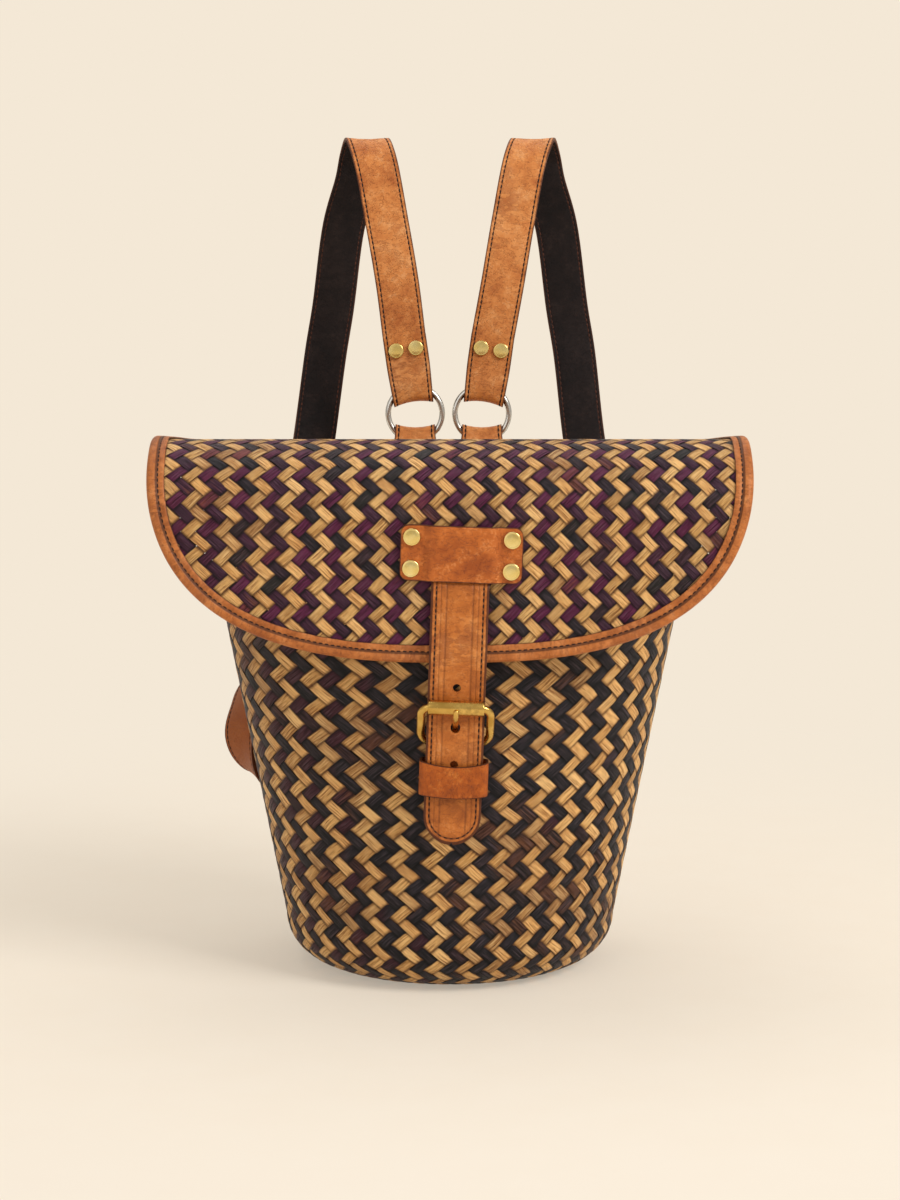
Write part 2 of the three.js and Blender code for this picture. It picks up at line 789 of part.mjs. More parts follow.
function backPlyAt(z) {
  const onWall = -halfDepthAt(closureZ + z) - gap - backStrapEase;
  const inKeeper = keeperBackY - keeperWall - gap - plyEase;
  const down = smooth(keeperBottom - z, 0, backStrapBend);
  return lerp(inKeeper, onWall, down) - backStrapLeather / 2;
}

// Buckle strap: front ply, fold round the heel bar, back ply; both plies lie back on the wall
function buckleStrap(holes) {
  const innerFold = frameWire + gap;
  const foldMiddle = innerFold + backStrapLeather / 2;
  const tip = (ply) => Array.from({ length: 6 }, (_, k) => {
    const angle = (Math.PI / 2) * ((5 - k) / 5.4);
    const z = backStrapRound - backStrapHalfWidth * Math.sin(angle);
    return { y: backPlyAt(z) - ply * backStrapStep, z, half: backStrapHalfWidth * Math.cos(angle) };
  });
  const straight = [keeperBottom - backStrapBend, keeperBottom, keeperTop - 10];
  const plies = (ply) => [
    ...tip(ply),
    ...straight.map((z) => ({
      y: backPlyAt(z) - ply * backStrapStep,
      z,
      half: backStrapHalfWidth,
    })),
  ];
  const arcSteps = 12;
  const arc = Array.from({ length: arcSteps + 1 }, (_, k) => {
    const angle = Math.PI * (k / arcSteps);
    return {
      y: heelY - foldMiddle * Math.cos(angle),
      z: heelZ + foldMiddle * Math.sin(angle),
      half: backStrapHalfWidth,
    };
  });
  const path = [...plies(1), ...arc.reverse(), ...plies(0).reverse()];
  const stations = path.map((station, i) => {
    const before = path[Math.max(i - 1, 0)];
    const after = path[Math.min(i + 1, path.length - 1)];
    const direction = point(0, after.y - before.y, after.z - before.z).normalize();
    const across = point(1, 0, 0);
    return {
      at: point(0, station.y, station.z),
      across,
      normal: direction.clone().cross(across),
      half: station.half,
    };
  });
  const strap = ribbon(stations, -backStrapLeather / 2, backStrapLeather / 2);
  const slot = new THREE.BoxGeometry(2 * backStrapSlot, 6 * foldMiddle, backStrapSlotLength);
  slot.translate(0, heelY - 1, heelZ + 0.5);
  return drilled(geometryOf(solidOf(strap).subtract(solidOf(slot))), holes);
}

// A bar: a section carried along a path that stays in the plane x = 0
function planarBar(path, section) {
  const side = point(1, 0, 0);
  return skin(path.map((at, i) => {
    const before = path[Math.max(i - 1, 0)];
    const after = path[Math.min(i + 1, path.length - 1)];
    const normal = after.clone().sub(before).normalize().cross(side);
    return section.map(([wide, high]) => (
      at.clone().addScaledVector(side, wide).addScaledVector(normal, high)
    ));
  }));
}

const oval = (wide, high, sides = 8) => Array.from({ length: sides }, (_, k) => {
  const angle = (2 * Math.PI * (k + 0.5)) / sides;
  return [wide * Math.cos(angle), high * Math.sin(angle)];
});

// Outline of a rectangle with round corners, from its first corner anticlockwise
function roundedOutline(halfWidth, low, high, lowRadius, highRadius, steps) {
  const corners = [
    { side: 1, level: high - highRadius, radius: highRadius, from: 0 },
    { side: -1, level: high - highRadius, radius: highRadius, from: 90 },
    { side: -1, level: low + lowRadius, radius: lowRadius, from: 180 },
    { side: 1, level: low + lowRadius, radius: lowRadius, from: 270 },
  ];
  return corners.flatMap(({ side, level, radius, from }) => (
    Array.from({ length: steps + 1 }, (_, k) => {
      const angle = radians(from + (90 * k) / steps);
      const across = side * (halfWidth - radius) + radius * Math.cos(angle);
      return [across, level + radius * Math.sin(angle)];
    })
  ));
}

// Frame's own plane: x across and reach from the heel bar up to the front bar
const framePoint = (x, reach) => point(
  x,
  heelY - (rollerOut * reach) / frameReach,
  heelZ + (rollerUp * reach) / frameReach,
);

function buckleFrame() {
  const cornerSteps = 4;
  const outline = roundedOutline(frameHalfWidth, 0, frameReach, heelCorner, frontCorner, cornerSteps);
  const upFrame = framePoint(0, 1).sub(framePoint(0, 0));
  const planeNormal = point(1, 0, 0).cross(upFrame).normalize();
  return skin(outline.map(([x, reach], i) => {
    const at = framePoint(x, reach);
    const before = framePoint(...outline[(i + outline.length - 1) % outline.length]);
    const after = framePoint(...outline[(i + 1) % outline.length]);
    const direction = after.sub(before).normalize();
    const inPlane = direction.cross(planeNormal);
    return oval(frameWire, frameWire).map(([wide, high]) => (
      at.clone().addScaledVector(inPlane, wide).addScaledVector(planeNormal, high)
    ));
  }), true);
}

function buckleRoller() {
  const bore = frameWire + gap;
  const half = rollerLength / 2;
  const profile = [
    [bore, -half],
    [rollerRadius - rollerBevel, -half],
    [rollerRadius, -half + rollerBevel],
    [rollerRadius, half - rollerBevel],
    [rollerRadius - rollerBevel, half],
    [bore, half],
    [bore, -half],
  ];
  const roller = new THREE.LatheGeometry(profile.map(([r, y]) => new THREE.Vector2(r, y)), 16);
  roller.rotateZ(Math.PI / 2);
  return roller;
}

// The prong's shank as shares of the frame's reach: ahead of the heel bar, and above it
const prongShank = [[0.131, 0.205], [0.189, 0.352], [0.352, 0.434], [0.533, 0.541]];
const prongBowShare = 0.68;

// The prong rises from its eye on the heel bar, through the strap, and lies on the roller
function buckleProng() {
  const bore = frameWire + gap;
  const half = prongEyeWidth / 2;
  const eyeProfile = [
    [bore, -half],
    [prongEyeRadius, -half],
    [prongEyeRadius, half],
    [bore, half],
    [bore, -half],
  ];
  const eye = new THREE.LatheGeometry(eyeProfile.map(([r, y]) => new THREE.Vector2(r, y)), 16);
  eye.rotateZ(Math.PI / 2);
  const roller = framePoint(0, frameReach);
  const restY = heelY - roller.y + rollerRadius + gap + prongHalfHeight;
  const shank = [
    [(bore + prongEyeRadius) / 2, 0],
    ...prongShank.map(([ahead, up]) => [ahead * frameReach, up * frameReach]),
    [restY - prongBow, prongBowShare * frameReach],
    [restY, roller.z - heelZ - prongTipEase],
  ].map(([ahead, up]) => point(0, -ahead, up));
  const bar = planarBar(shank, oval(prongHalfWidth, prongHalfHeight));
  const prong = geometryOf(solidOf(eye).add(solidOf(bar)));
  prong.translate(0, heelY, heelZ);
  return prong;
}

function strapKeeper() {
  const steps = 3;
  const outline = (inset) => roundedOutline(
    keeperHalfWidth - inset,
    keeperFrontY + inset,
    keeperBackY - inset,
    keeperBend - inset,
    keeperBend - inset,
    steps,
  );
  const outer = outline(0);
  const inner = outline(keeperWall);
  return skin(outer.map(([x, y], i) => {
    const [insideX, insideY] = inner[i];
    return [
      point(x, y, keeperBottom),
      point(x, y, keeperTop),
      point(insideX, insideY, keeperTop),
      point(insideX, insideY, keeperBottom),
    ];
  }), true);
}

// Assembly
const bag = new THREE.Group();
const closure = new THREE.Group();
closure.position.set(closureX, 0, closureZ);
closure.rotation.y = radians(closureTilt);
closure.updateMatrixWorld(true);
bag.add(closure);

const shellHoles = [];
const flapHoles = [];
const stripHoles = [];
const plateHoles = [];
const buckleStrapHoles = [];
const forward = point(0, -1, 0);

// Closure plate's four rivets go through the plate and the flap
[[-1, 1], [1, 1], [-1, -1], [1, -1]].forEach(([side, level], k) => {
  const at = point(side * plateRivetX, flapFace - plateLeather, level * plateRivetZ);
  const grip = plateLeather + gap + flapThickness;
  closure.add(rivet(`closure_rivet_${k + 1}`, at, forward, grip));
  plateHoles.push(holeFor(at, forward, grip));
  flapHoles.push(holeFor(closure.localToWorld(at.clone()), forward, grip));
});
closure.add(piece('closure_plate', closurePlate(plateHoles), tanLeather));
closure.add(piece('closure_strap', closureStrap(), tanLeather));

// Buckle strap's two rivets go through both plies and the basket's front wall
backStrapRivets.forEach((z, k) => {
  const wall = closure.localToWorld(point(0, 0, z));
  const wallFace = -halfDepthAt(wall.z) * Math.sqrt(1 - (wall.x / halfWidthAt(wall.z)) ** 2);
  const front = backPlyAt(z) - backStrapStep - backStrapLeather / 2;
  const at = point(0, front, z);
  const grip = wallFace + shellWall + burrEase - front;
  closure.add(rivet(`buckle_strap_rivet_${k + 1}`, at, forward, grip, flatCapHeight, flatCapRadius));
  buckleStrapHoles.push(holeFor(at, forward, grip));
  shellHoles.push(holeFor(closure.localToWorld(at.clone()), forward, grip));
});
closure.add(piece('buckle_strap', buckleStrap(buckleStrapHoles), tanLeather));
closure.add(piece('strap_keeper', strapKeeper(), tanLeather));
closure.add(piece('buckle_frame', buckleFrame(), agedBrass));
const roller = piece('buckle_roller', buckleRoller(), agedBrass);
roller.position.copy(framePoint(0, frameReach));
closure.add(roller);
closure.add(piece('buckle_prong', buckleProng(), agedBrass));

// Rings, their tabs and the shoulder straps
const sides = [
  { name: 'left', hand: -1, ringX: ringLeftX, route: leftRoute, endTurn: leftEndTurn },
  { name: 'right', hand: 1, ringX: ringRightX, route: rightRoute, endTurn: rightEndTurn },
];
sides.forEach(({ name, hand, ringX, route, endTurn }) => {
  const ring = piece(`ring_${name}`, ringGeometry(), nickel);
  ring.position.set(ringX, ringPlaneY, ringCentreZ);
  bag.add(ring);

  const tab = tabStations(ringX);
  const tabFace = tab[tab.length - 1];
  const flatPart = tab[tab.length - 2].at.clone().sub(tabFace.at);
  const rivetShare = (tabRivetHeight - tabBottom) / flatPart.z;
  const tabHoles = [-1, 1].map((side, k) => {
    const at = tabFace.at.clone()
      .addScaledVector(flatPart, rivetShare)
      .addScaledVector(tabFace.across, (side * tabRivetSpacing) / 2)
      .addScaledVector(tabFace.normal, tabLeather / 2);
    const wall = halfDepthAt(at.z) * Math.sqrt(1 - (at.x / halfWidthAt(at.z)) ** 2);
    const grip = (at.y - wall) * tabFace.normal.y + shellWall + burrEase;
    bag.add(rivet(`ring_tab_${name}_rivet_${k + 1}`, at, tabFace.normal, grip));
    return holeFor(at, tabFace.normal, grip);
  });
  stripHoles.push(...tabHoles);
  shellHoles.push(...tabHoles);
  const tabSolid = ribbon(tab, -tabLeather / 2, tabLeather / 2);
  bag.add(piece(`ring_tab_${name}`, drilled(tabSolid, tabHoles), tanLeather));

  const stations = strapStations(ringX, hand, route, endTurn);
  const outerFace = halfSeam + strapLeather;
  const tail = stations[0];
  const joinGrip = 2 * (joinedY + outerFace);
  const joinHoles = [-1, 1].map((side, k) => {
    const at = point(ringX, ringPlaneY - joinedY - outerFace, ringCentreZ)
      .addScaledVector(strapUp(hand), strapRivetHeight)
      .addScaledVector(tail.across, (side * strapRivetSpacing) / 2);
    bag.add(rivet(`shoulder_strap_${name}_rivet_${k + 1}`, at, forward, joinGrip));
    return holeFor(at, forward, joinGrip);
  });
  const end = stations.find(({ at }) => at.z < strapEndRivets[0]);
  const endHoles = strapEndRivets.map((z, k) => {
    const wall = wallPoint(radians(endTurn), z, gap + strapInnerFace);
    const at = point(-hand * wall.x, wall.y, z).addScaledVector(end.normal, outerFace);
    const grip = outerFace + strapInnerFace + gap + shellWall + burrEase;
    bag.add(rivet(`strap_end_${name}_rivet_${k + 1}`, at, end.normal, grip));
    return holeFor(at, end.normal, grip);
  });
  shellHoles.push(...endHoles);
  const holes = [...joinHoles, ...endHoles];
  const leather = drilled(ribbon(stations, halfSeam, outerFace), holes);
  bag.add(piece(`shoulder_strap_${name}`, leather, tanLeather));
  const lining = drilled(ribbon(stations, -strapInnerFace, -halfSeam), holes);
  bag.add(piece(`shoulder_lining_${name}`, lining, blackLeather));
});

bag.add(piece('basket_shell', basketShell(shellHoles), wovenCane));
bag.add(piece('rim_binding', rimBinding(), tanLeather));
bag.add(piece('flap_panel', flapPanel(flapHoles), wovenCane));
bag.add(piece('flap_binding', flapBinding(), tanLeather));
bag.add(piece('hinge_strip', hingeStrip(stripHoles), tanLeather));

export default bag;
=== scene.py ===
# Looks of a round woven backpack, built round its CAD frame. Lengths are in millimetres
# and become metres where they are put into a mesh.
import math

import bpy
import numpy as np
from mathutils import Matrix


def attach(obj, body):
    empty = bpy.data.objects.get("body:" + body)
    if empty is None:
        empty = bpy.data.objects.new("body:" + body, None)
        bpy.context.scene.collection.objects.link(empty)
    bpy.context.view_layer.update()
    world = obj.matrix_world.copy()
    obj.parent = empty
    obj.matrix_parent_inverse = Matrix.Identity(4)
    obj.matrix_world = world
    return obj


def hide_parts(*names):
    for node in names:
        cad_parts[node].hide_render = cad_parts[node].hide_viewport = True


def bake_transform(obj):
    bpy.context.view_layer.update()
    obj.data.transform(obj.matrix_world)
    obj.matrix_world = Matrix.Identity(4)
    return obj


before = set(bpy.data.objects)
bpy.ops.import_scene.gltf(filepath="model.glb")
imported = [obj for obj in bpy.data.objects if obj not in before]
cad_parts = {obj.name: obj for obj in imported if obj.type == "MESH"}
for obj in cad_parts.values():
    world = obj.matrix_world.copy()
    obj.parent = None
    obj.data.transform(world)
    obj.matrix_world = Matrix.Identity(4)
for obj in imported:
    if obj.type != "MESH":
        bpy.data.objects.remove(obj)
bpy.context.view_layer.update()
mm = 0.001
clearance = 0.3  # between pieces that touch
print("frame loaded:", len(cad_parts), "nodes")


# Tools for meshes

def useOnly(obj):
    bpy.ops.object.select_all(action="DESELECT")
    obj.select_set(True)
    bpy.context.view_layer.objects.active = obj


def readPoints(obj):
    places = np.empty(3 * len(obj.data.vertices))
    obj.data.vertices.foreach_get("co", places)
    return places.reshape(-1, 3)


def writePoints(obj, places):
    obj.data.vertices.foreach_set("co", np.ascontiguousarray(places, np.float32).ravel())
    obj.data.update()


# Places from coordinates that are spread to one shape
def placed(*parts):
    return np.stack(np.broadcast_arrays(*parts), -1)


# The distance run along a line at each of its points
def runAlong(line):
    steps = np.linalg.norm(np.diff(line, axis=0), axis=1)
    return np.concatenate([[0], np.cumsum(steps)])


def sampled(wanted, run, line):
    return np.stack([np.interp(wanted, run, part) for part in line.T], -1)


def markPoints(obj, name, values):
    layer = obj.data.attributes.new(name, "FLOAT_VECTOR", "POINT")
    layer.data.foreach_set("vector", np.ascontiguousarray(values, np.float32).ravel())


def applied(obj, kind, **settings):
    useOnly(obj)
    modifier = obj.modifiers.new(kind.lower(), kind)
    for name, value in settings.items():
        setattr(modifier, name, value)
    bpy.ops.object.modifier_apply(modifier=modifier.name)
    return obj


def edited(obj, *steps):
    useOnly(obj)
    bpy.ops.object.mode_set(mode="EDIT")
    bpy.ops.mesh.select_all(action="SELECT")
    for step in steps:
        step()
    bpy.ops.object.mode_set(mode="OBJECT")
    return obj


def welded(obj):
    return edited(obj, lambda: bpy.ops.mesh.remove_doubles(threshold=0.01 * mm))


def closedUp(obj):
    return edited(welded(obj), lambda: bpy.ops.mesh.normals_make_consistent(inside=False))


# Leaves the object in edit mode with only the chosen vertices or edges selected
def selectOnly(obj, kind, chosen):
    useOnly(obj)
    bpy.ops.object.mode_set(mode="EDIT")
    bpy.ops.mesh.select_all(action="DESELECT")
    bpy.ops.object.mode_set(mode="OBJECT")
    getattr(obj.data, kind).foreach_set("select", chosen)
    bpy.ops.object.mode_set(mode="EDIT")


def smoothed(obj, degrees=50):
    useOnly(obj)
    bpy.ops.object.shade_smooth_by_angle(angle=math.radians(degrees))
    return obj


# Copies of the object side by side in one mesh, a step apart
def arrayed(obj, count, step):
    return applied(
        obj, "ARRAY", count=count, use_relative_offset=False, use_constant_offset=True,
        constant_offset_displace=(step * mm, 0, 0),
    )


# Cuts a tool's scaled shape out of the object and removes the tool
def cutAway(obj, tool, scale):
    tool.scale = scale
    bpy.ops.object.transform_apply(location=True, rotation=True, scale=True)
    applied(obj, "BOOLEAN", operation="DIFFERENCE", solver="EXACT", object=tool)
    bpy.data.objects.remove(tool, do_unlink=True)


# A grid whose points are put in place by a function of their column and row
def gridPiece(name, columns, rows, shape):
    bpy.ops.mesh.primitive_grid_add(x_subdivisions=columns, y_subdivisions=rows, size=2)
    obj = bpy.context.object
    obj.name = name
    obj.data.name = name
    flat = readPoints(obj)
    column = np.rint((flat[:, 0] + 1) / 2 * columns).astype(int)
    row = np.rint((flat[:, 1] + 1) / 2 * rows).astype(int)
    writePoints(obj, shape(column, row) * mm)
    return obj, column, row


def finished(obj, finish, body=None, nodes=()):
    obj.data.materials.clear()
    obj.data.materials.append(finish)
    if body:
        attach(obj, body)
    if nodes:
        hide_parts(*nodes)
    return obj


def joined(name, first, second):
    useOnly(first)
    second.select_set(True)
    bpy.ops.object.join()
    first.name = name
    first.data.name = name
    return first


def ramped(x, low, high):
    share = np.clip((np.asarray(x, float) - low) / (high - low), 0, 1)
    return share * share * (3 - 2 * share)


def unit(vectors):
    return vectors / np.linalg.norm(vectors, axis=-1, keepdims=True)


# Tools for materials

def linear(colour):
    parts = [int(colour[k:k + 2], 16) / 255 for k in (1, 3, 5)]
    toned = [p / 12.92 if p <= 0.04045 else ((p + 0.055) / 1.055) ** 2.4 for p in parts]
    return (*toned, 1)


class Wire:
    def __init__(self, finish, socket):
        self.finish = finish
        self.socket = socket

    def maths(self, operation, first, second):
        return self.finish.node("ShaderNodeMath", {"operation": operation}, {0: first, 1: second})

    def __add__(self, other):
        return self.maths("ADD", self, other)

    def __sub__(self, other):
        return self.maths("SUBTRACT", self, other)

    def __rsub__(self, other):
        return self.maths("SUBTRACT", other, self)

    def __mul__(self, other):
        return self.maths("MULTIPLY", self, other)

    def __pow__(self, other):
        return self.maths("POWER", self, other)

    def __abs__(self):
        return self.maths("ABSOLUTE", self, 0)

    def __floor__(self):
        return self.maths("FLOOR", self, 0)

    def orMore(self, other):
        return self.maths("MAXIMUM", self, other)

    __radd__ = __add__
    __rmul__ = __mul__


class Finish:
    def __init__(self, name, **plain):
        self.material = bpy.data.materials.new(name)
        self.material.use_nodes = True
        self.tree = self.material.node_tree
        self.surface = self.tree.nodes["Principled BSDF"]
        for socket, value in plain.items():
            self.surface.inputs[socket.replace("_", " ")].default_value = value

    def node(self, kind, settings=None, inputs=None, output=0):
        made = self.tree.nodes.new(kind)
        for name, value in (settings or {}).items():
            if name == "stops":
                self.fillRamp(made.color_ramp.elements, value)
            else:
                setattr(made, name, value)
        for name, value in (inputs or {}).items():
            if isinstance(value, Wire):
                self.tree.links.new(value.socket, made.inputs[name])
            else:
                made.inputs[name].default_value = linear(value) if isinstance(value, str) else value
        return Wire(self, made.outputs[output])

    def fillRamp(self, elements, stops):
        while len(elements) < len(stops):
            elements.new(1)
        for element, (place, colour) in zip(elements, stops):
            element.position = place
            element.color = linear(colour)

    def feed(self, **wires):
        for socket, wire in wires.items():
            self.tree.links.new(wire.socket, self.surface.inputs[socket.replace("_", " ")])

    def objectSpace(self):
        return self.node("ShaderNodeTexCoord", output="Object")

    def attribute(self, name):
        return self.node("ShaderNodeAttribute", {"attribute_name": name}, output="Vector")

    def split(self, vector):
        parts = self.node("ShaderNodeSeparateXYZ", inputs={0: vector})
        return [Wire(self, socket) for socket in parts.socket.node.outputs]

    def joinXyz(self, x, y, z):
        return self.node("ShaderNodeCombineXYZ", inputs={0: x, 1: y, 2: z})

    def noise(self, vector, scale, detail=2, roughness=0.5):
        inputs = {"Vector": vector, "Scale": scale, "Detail": detail, "Roughness": roughness}
        return self.node("ShaderNodeTexNoise", inputs=inputs)

    def chance(self, x, y):
        settings = {"noise_dimensions": "2D"}
        return self.node("ShaderNodeTexWhiteNoise", settings, {"Vector": self.joinXyz(x, y, 0)})

    def ramp(self, factor, *stops):
        return self.node("ShaderNodeValToRGB", {"stops": stops}, {"Fac": factor})

    def step(self, value, low, high):
        settings = {"interpolation_type": "SMOOTHSTEP"}
        return self.node("ShaderNodeMapRange", settings, {"Value": value, 1: low, 2: high})

    def blend(self, factor, first, second, kind="MIX"):
        settings = {"data_type": "RGBA", "blend_type": kind}
        return self.node("ShaderNodeMix", settings, {0: factor, 6: first, 7: second}, 2)

    def bump(self, height, distance, strength=1):
        inputs = {"Height": height, "Distance": distance * mm, "Strength": strength}
        return self.node("ShaderNodeBump", inputs=inputs, output="Normal")


# Basket wall and flap, as the CAD source has them

basket = {
    "baseRadius": 64,
    "cornerHeight": 26,
    "cornerRadius": 92,
    "widthFlare": 0.197,
    "depthFlare": 0.0236,
    "wall": 3.2,
    "rimHeight": 269.2,
    "rimTilt": 0.049,
}


def halfWidthAt(z):
    return basket["cornerRadius"] + basket["widthFlare"] * (z - basket["cornerHeight"])


def halfDepthAt(z):
    return basket["cornerRadius"] + basket["depthFlare"] * (z - basket["cornerHeight"])


# Turn 0 is the middle of the front and grows to the right
def wallPoint(turn, z, out=0):
    x = (halfWidthAt(z) + out) * np.sin(turn)
    y = -(halfDepthAt(z) + out) * np.cos(turn)
    return placed(x, y, z)


def wallY(x, z):
    return halfDepthAt(z) * np.sqrt(1 - (x / halfWidthAt(z)) ** 2)


def rimAt(turn):
    depthAtGround = basket["cornerRadius"] - basket["depthFlare"] * basket["cornerHeight"]
    lean = basket["rimTilt"] * np.cos(turn)
    return (basket["rimHeight"] - lean * depthAtGround) / (1 + lean * basket["depthFlare"])


rimBack = rimAt(math.pi)
rimFront = rimAt(0)

flap = {
    "halfWidth": 154,
    "thickness": 3,
    "backY": halfDepthAt(rimBack) + 0.55,
    "backZ": rimBack + 8,
    "frontY": -halfDepthAt(rimFront) - 8.37,
    "bendRadius": 40,
    "bendZ": rimBack - 20,
    "drop": 71,
    "taperAngle": math.radians(39.2),
    "roundness": 2.65,
}

bendY = flap["frontY"] + flap["bendRadius"]
topRun = flap["backY"] - bendY
topDrop = flap["backZ"] - flap["bendZ"]
topRise = math.asin(flap["bendRadius"] / math.hypot(topRun, topDrop)) - math.atan2(topDrop, topRun)
topLength = (topRun - flap["bendRadius"] * math.sin(topRise)) / math.cos(topRise)
bendEnd = topLength + flap["bendRadius"] * (math.pi / 2 + topRise)
taperStart = topLength + flap["bendRadius"] * (flap["taperAngle"] + topRise)
flapLength = bendEnd + flap["drop"]
taperLength = flapLength - taperStart


# The soft flap sinks a little towards its back edge
def flapSag(along):
    return 1.5 * (1 - ramped(along, -10, topLength))


# A place on the flap's outer face, at a distance along it from its back edge
def flapPoint(x, along, out=0):
    x, along, out = np.broadcast_arrays(np.asarray(x, float), along, out)
    out = out - flapSag(along)
    angle = np.clip((along - topLength) / flap["bendRadius"], 0, math.pi / 2 + topRise) - topRise
    before = np.minimum(along - topLength, 0)
    after = np.maximum(along - bendEnd, 0)
    radius = flap["bendRadius"] + out
    y = bendY - radius * np.sin(angle) - before * np.cos(topRise)
    z = flap["bendZ"] + radius * np.cos(angle) + before * np.sin(topRise) - after
    return placed(x, y, z)


def flapHalfAt(along):
    deep = np.clip((along - taperStart) / taperLength, 0, 1)
    return flap["halfWidth"] * (1 - deep ** flap["roundness"]) ** (1 / flap["roundness"])


# Cane finishes

def caneFinish(name, tones, shape):
    finish = Finish(name, Specular_IOR_Level=shape["sheen"])
    across, along, strip = finish.split(finish.attribute("plait"))
    lift, _, _ = finish.split(finish.attribute("lift"))
    place = finish.objectSpace()
    floatId = math.floor((along - shape["overCentre"]) * 0.25 + 0.5)
    perStrip = finish.chance(strip, 3.7)
    perFloat = finish.chance(strip, floatId)
    grainSpace = finish.joinXyz(across * 17, along * 0.45, strip * 5.3)
    grain = finish.noise(grainSpace, 1, 3, 0.7)
    streakSpace = finish.joinXyz(across * 5.5, along * 0.3, strip * 3.1)
    streak = finish.noise(streakSpace, 1, 2)
    cloud = finish.noise(place, 14, 3)
    colour = tones(finish, perStrip, perFloat, streak, cloud, place)
    fibre = 1 - finish.step(grain, 0.4, 0.5)
    colour = finish.blend(fibre * shape["grain"], colour, shape["grainColour"], "MULTIPLY")
    # Painted highlight: lighter fibre lines painted only where the strip lies raised over the strips
    # it crosses
    paintedGleam = finish.step(grain, 0.52, 0.62) * finish.step(lift, 0.1, 0.8)
    colour = finish.blend(paintedGleam * shape["paintedGleam"], colour, shape["paintedGleamColour"])
    edge = finish.step(abs(across), 0.38, 0.48)
    dive = 1 - finish.step(lift, -0.05, 0.45)
    shade = (edge * 0.7).orMore(dive * 0.9)
    colour = finish.blend(shade, colour, shape["shadeColour"], "MULTIPLY")
    relief = grain * 0.7 + streak * 0.3
    finish.feed(
        Base_Color=colour,
        Roughness=0.48 + fibre * 0.2,
        Normal=finish.bump(relief, 0.4, 0.8),
    )
    return finish.material


def strawTones(light, middle, dark, stain):
    def tones(finish, perStrip, perFloat, streak, cloud, place):
        pick = perFloat * 0.45 + perStrip * 0.2 + streak * 0.45
        colour = finish.ramp(pick, (0.1, dark), (0.5, middle), (0.95, light))
        stained = finish.step(cloud + perFloat * 0.28, 0.66, 0.86) * 0.75
        return finish.blend(stained, colour, stain)
    return tones


def dyedTones(first, second, worn, share, leftShare=0):
    def tones(finish, perStrip, perFloat, streak, cloud, place):
        x, _, _ = finish.split(place)
        left = (1 - finish.step(x, -0.085, 0.0)) * leftShare
        pick = perStrip * 0.5 + perFloat * 0.5
        isSecond = finish.step(pick + left, 1 - share - 0.06, 1 - share + 0.06)
        colour = finish.blend(isSecond, first, second)
        tone = finish.ramp(streak, (0.25, "#5C5C5C"), (0.75, "#B8B8B8"))
        colour = finish.blend(0.6, colour, tone, "SOFT_LIGHT")
        faded = finish.step(cloud * 0.75 + perFloat * 0.35 + streak * 0.3, 0.82, 0.98)
        return finish.blend(faded * 0.85, colour, worn)
    return tones


bodyCane = {
    "fallingLight": strawTones("#F0C684", "#DBA763", "#B98345", "#7F4F28"),
    "fallingDark": dyedTones("#211D21", "#33191C", "#6A4026", 0.15, 0.3),
    "risingLight": strawTones("#E2B470", "#C79552", "#9E6C34", "#74461F"),
    "risingDark": dyedTones("#201E24", "#421826", "#633A26", 0.12, 0.8),
}
flapCane = {
    "fallingLight": strawTones("#F0C483", "#DAA560", "#B78144", "#8A562A"),
    "fallingDark": dyedTones("#262226", "#421B34", "#7A4630", 0.6),
    "risingLight": strawTones("#DDB270", "#C29352", "#9A6C36", "#7C4C27"),
    "risingDark": dyedTones("#262622", "#5E1A42", "#7E3F30", 0.7),
}


# Along a strip, in strip widths, where it first lies midway over the two it crosses
def overCentreOf(rising):
    return 2.5 if rising else 0.5


def caneShape(rising, dark):
    return {
        "overCentre": overCentreOf(rising),
        "grain": 0.8,
        "grainColour": "#4A4042" if dark else "#84532A",
        "paintedGleam": 0.26 if dark else 0.36,
        "paintedGleamColour": "#77606A" if dark else "#FBDDA0",
        "shadeColour": "#2A2022" if dark else "#5A3418",
        "sheen": 0.22 if dark else 0.35,
    }


# Plaiting: falling strips run down to the right over two and under two rising ones, and in each
# direction every other strip is dyed dark

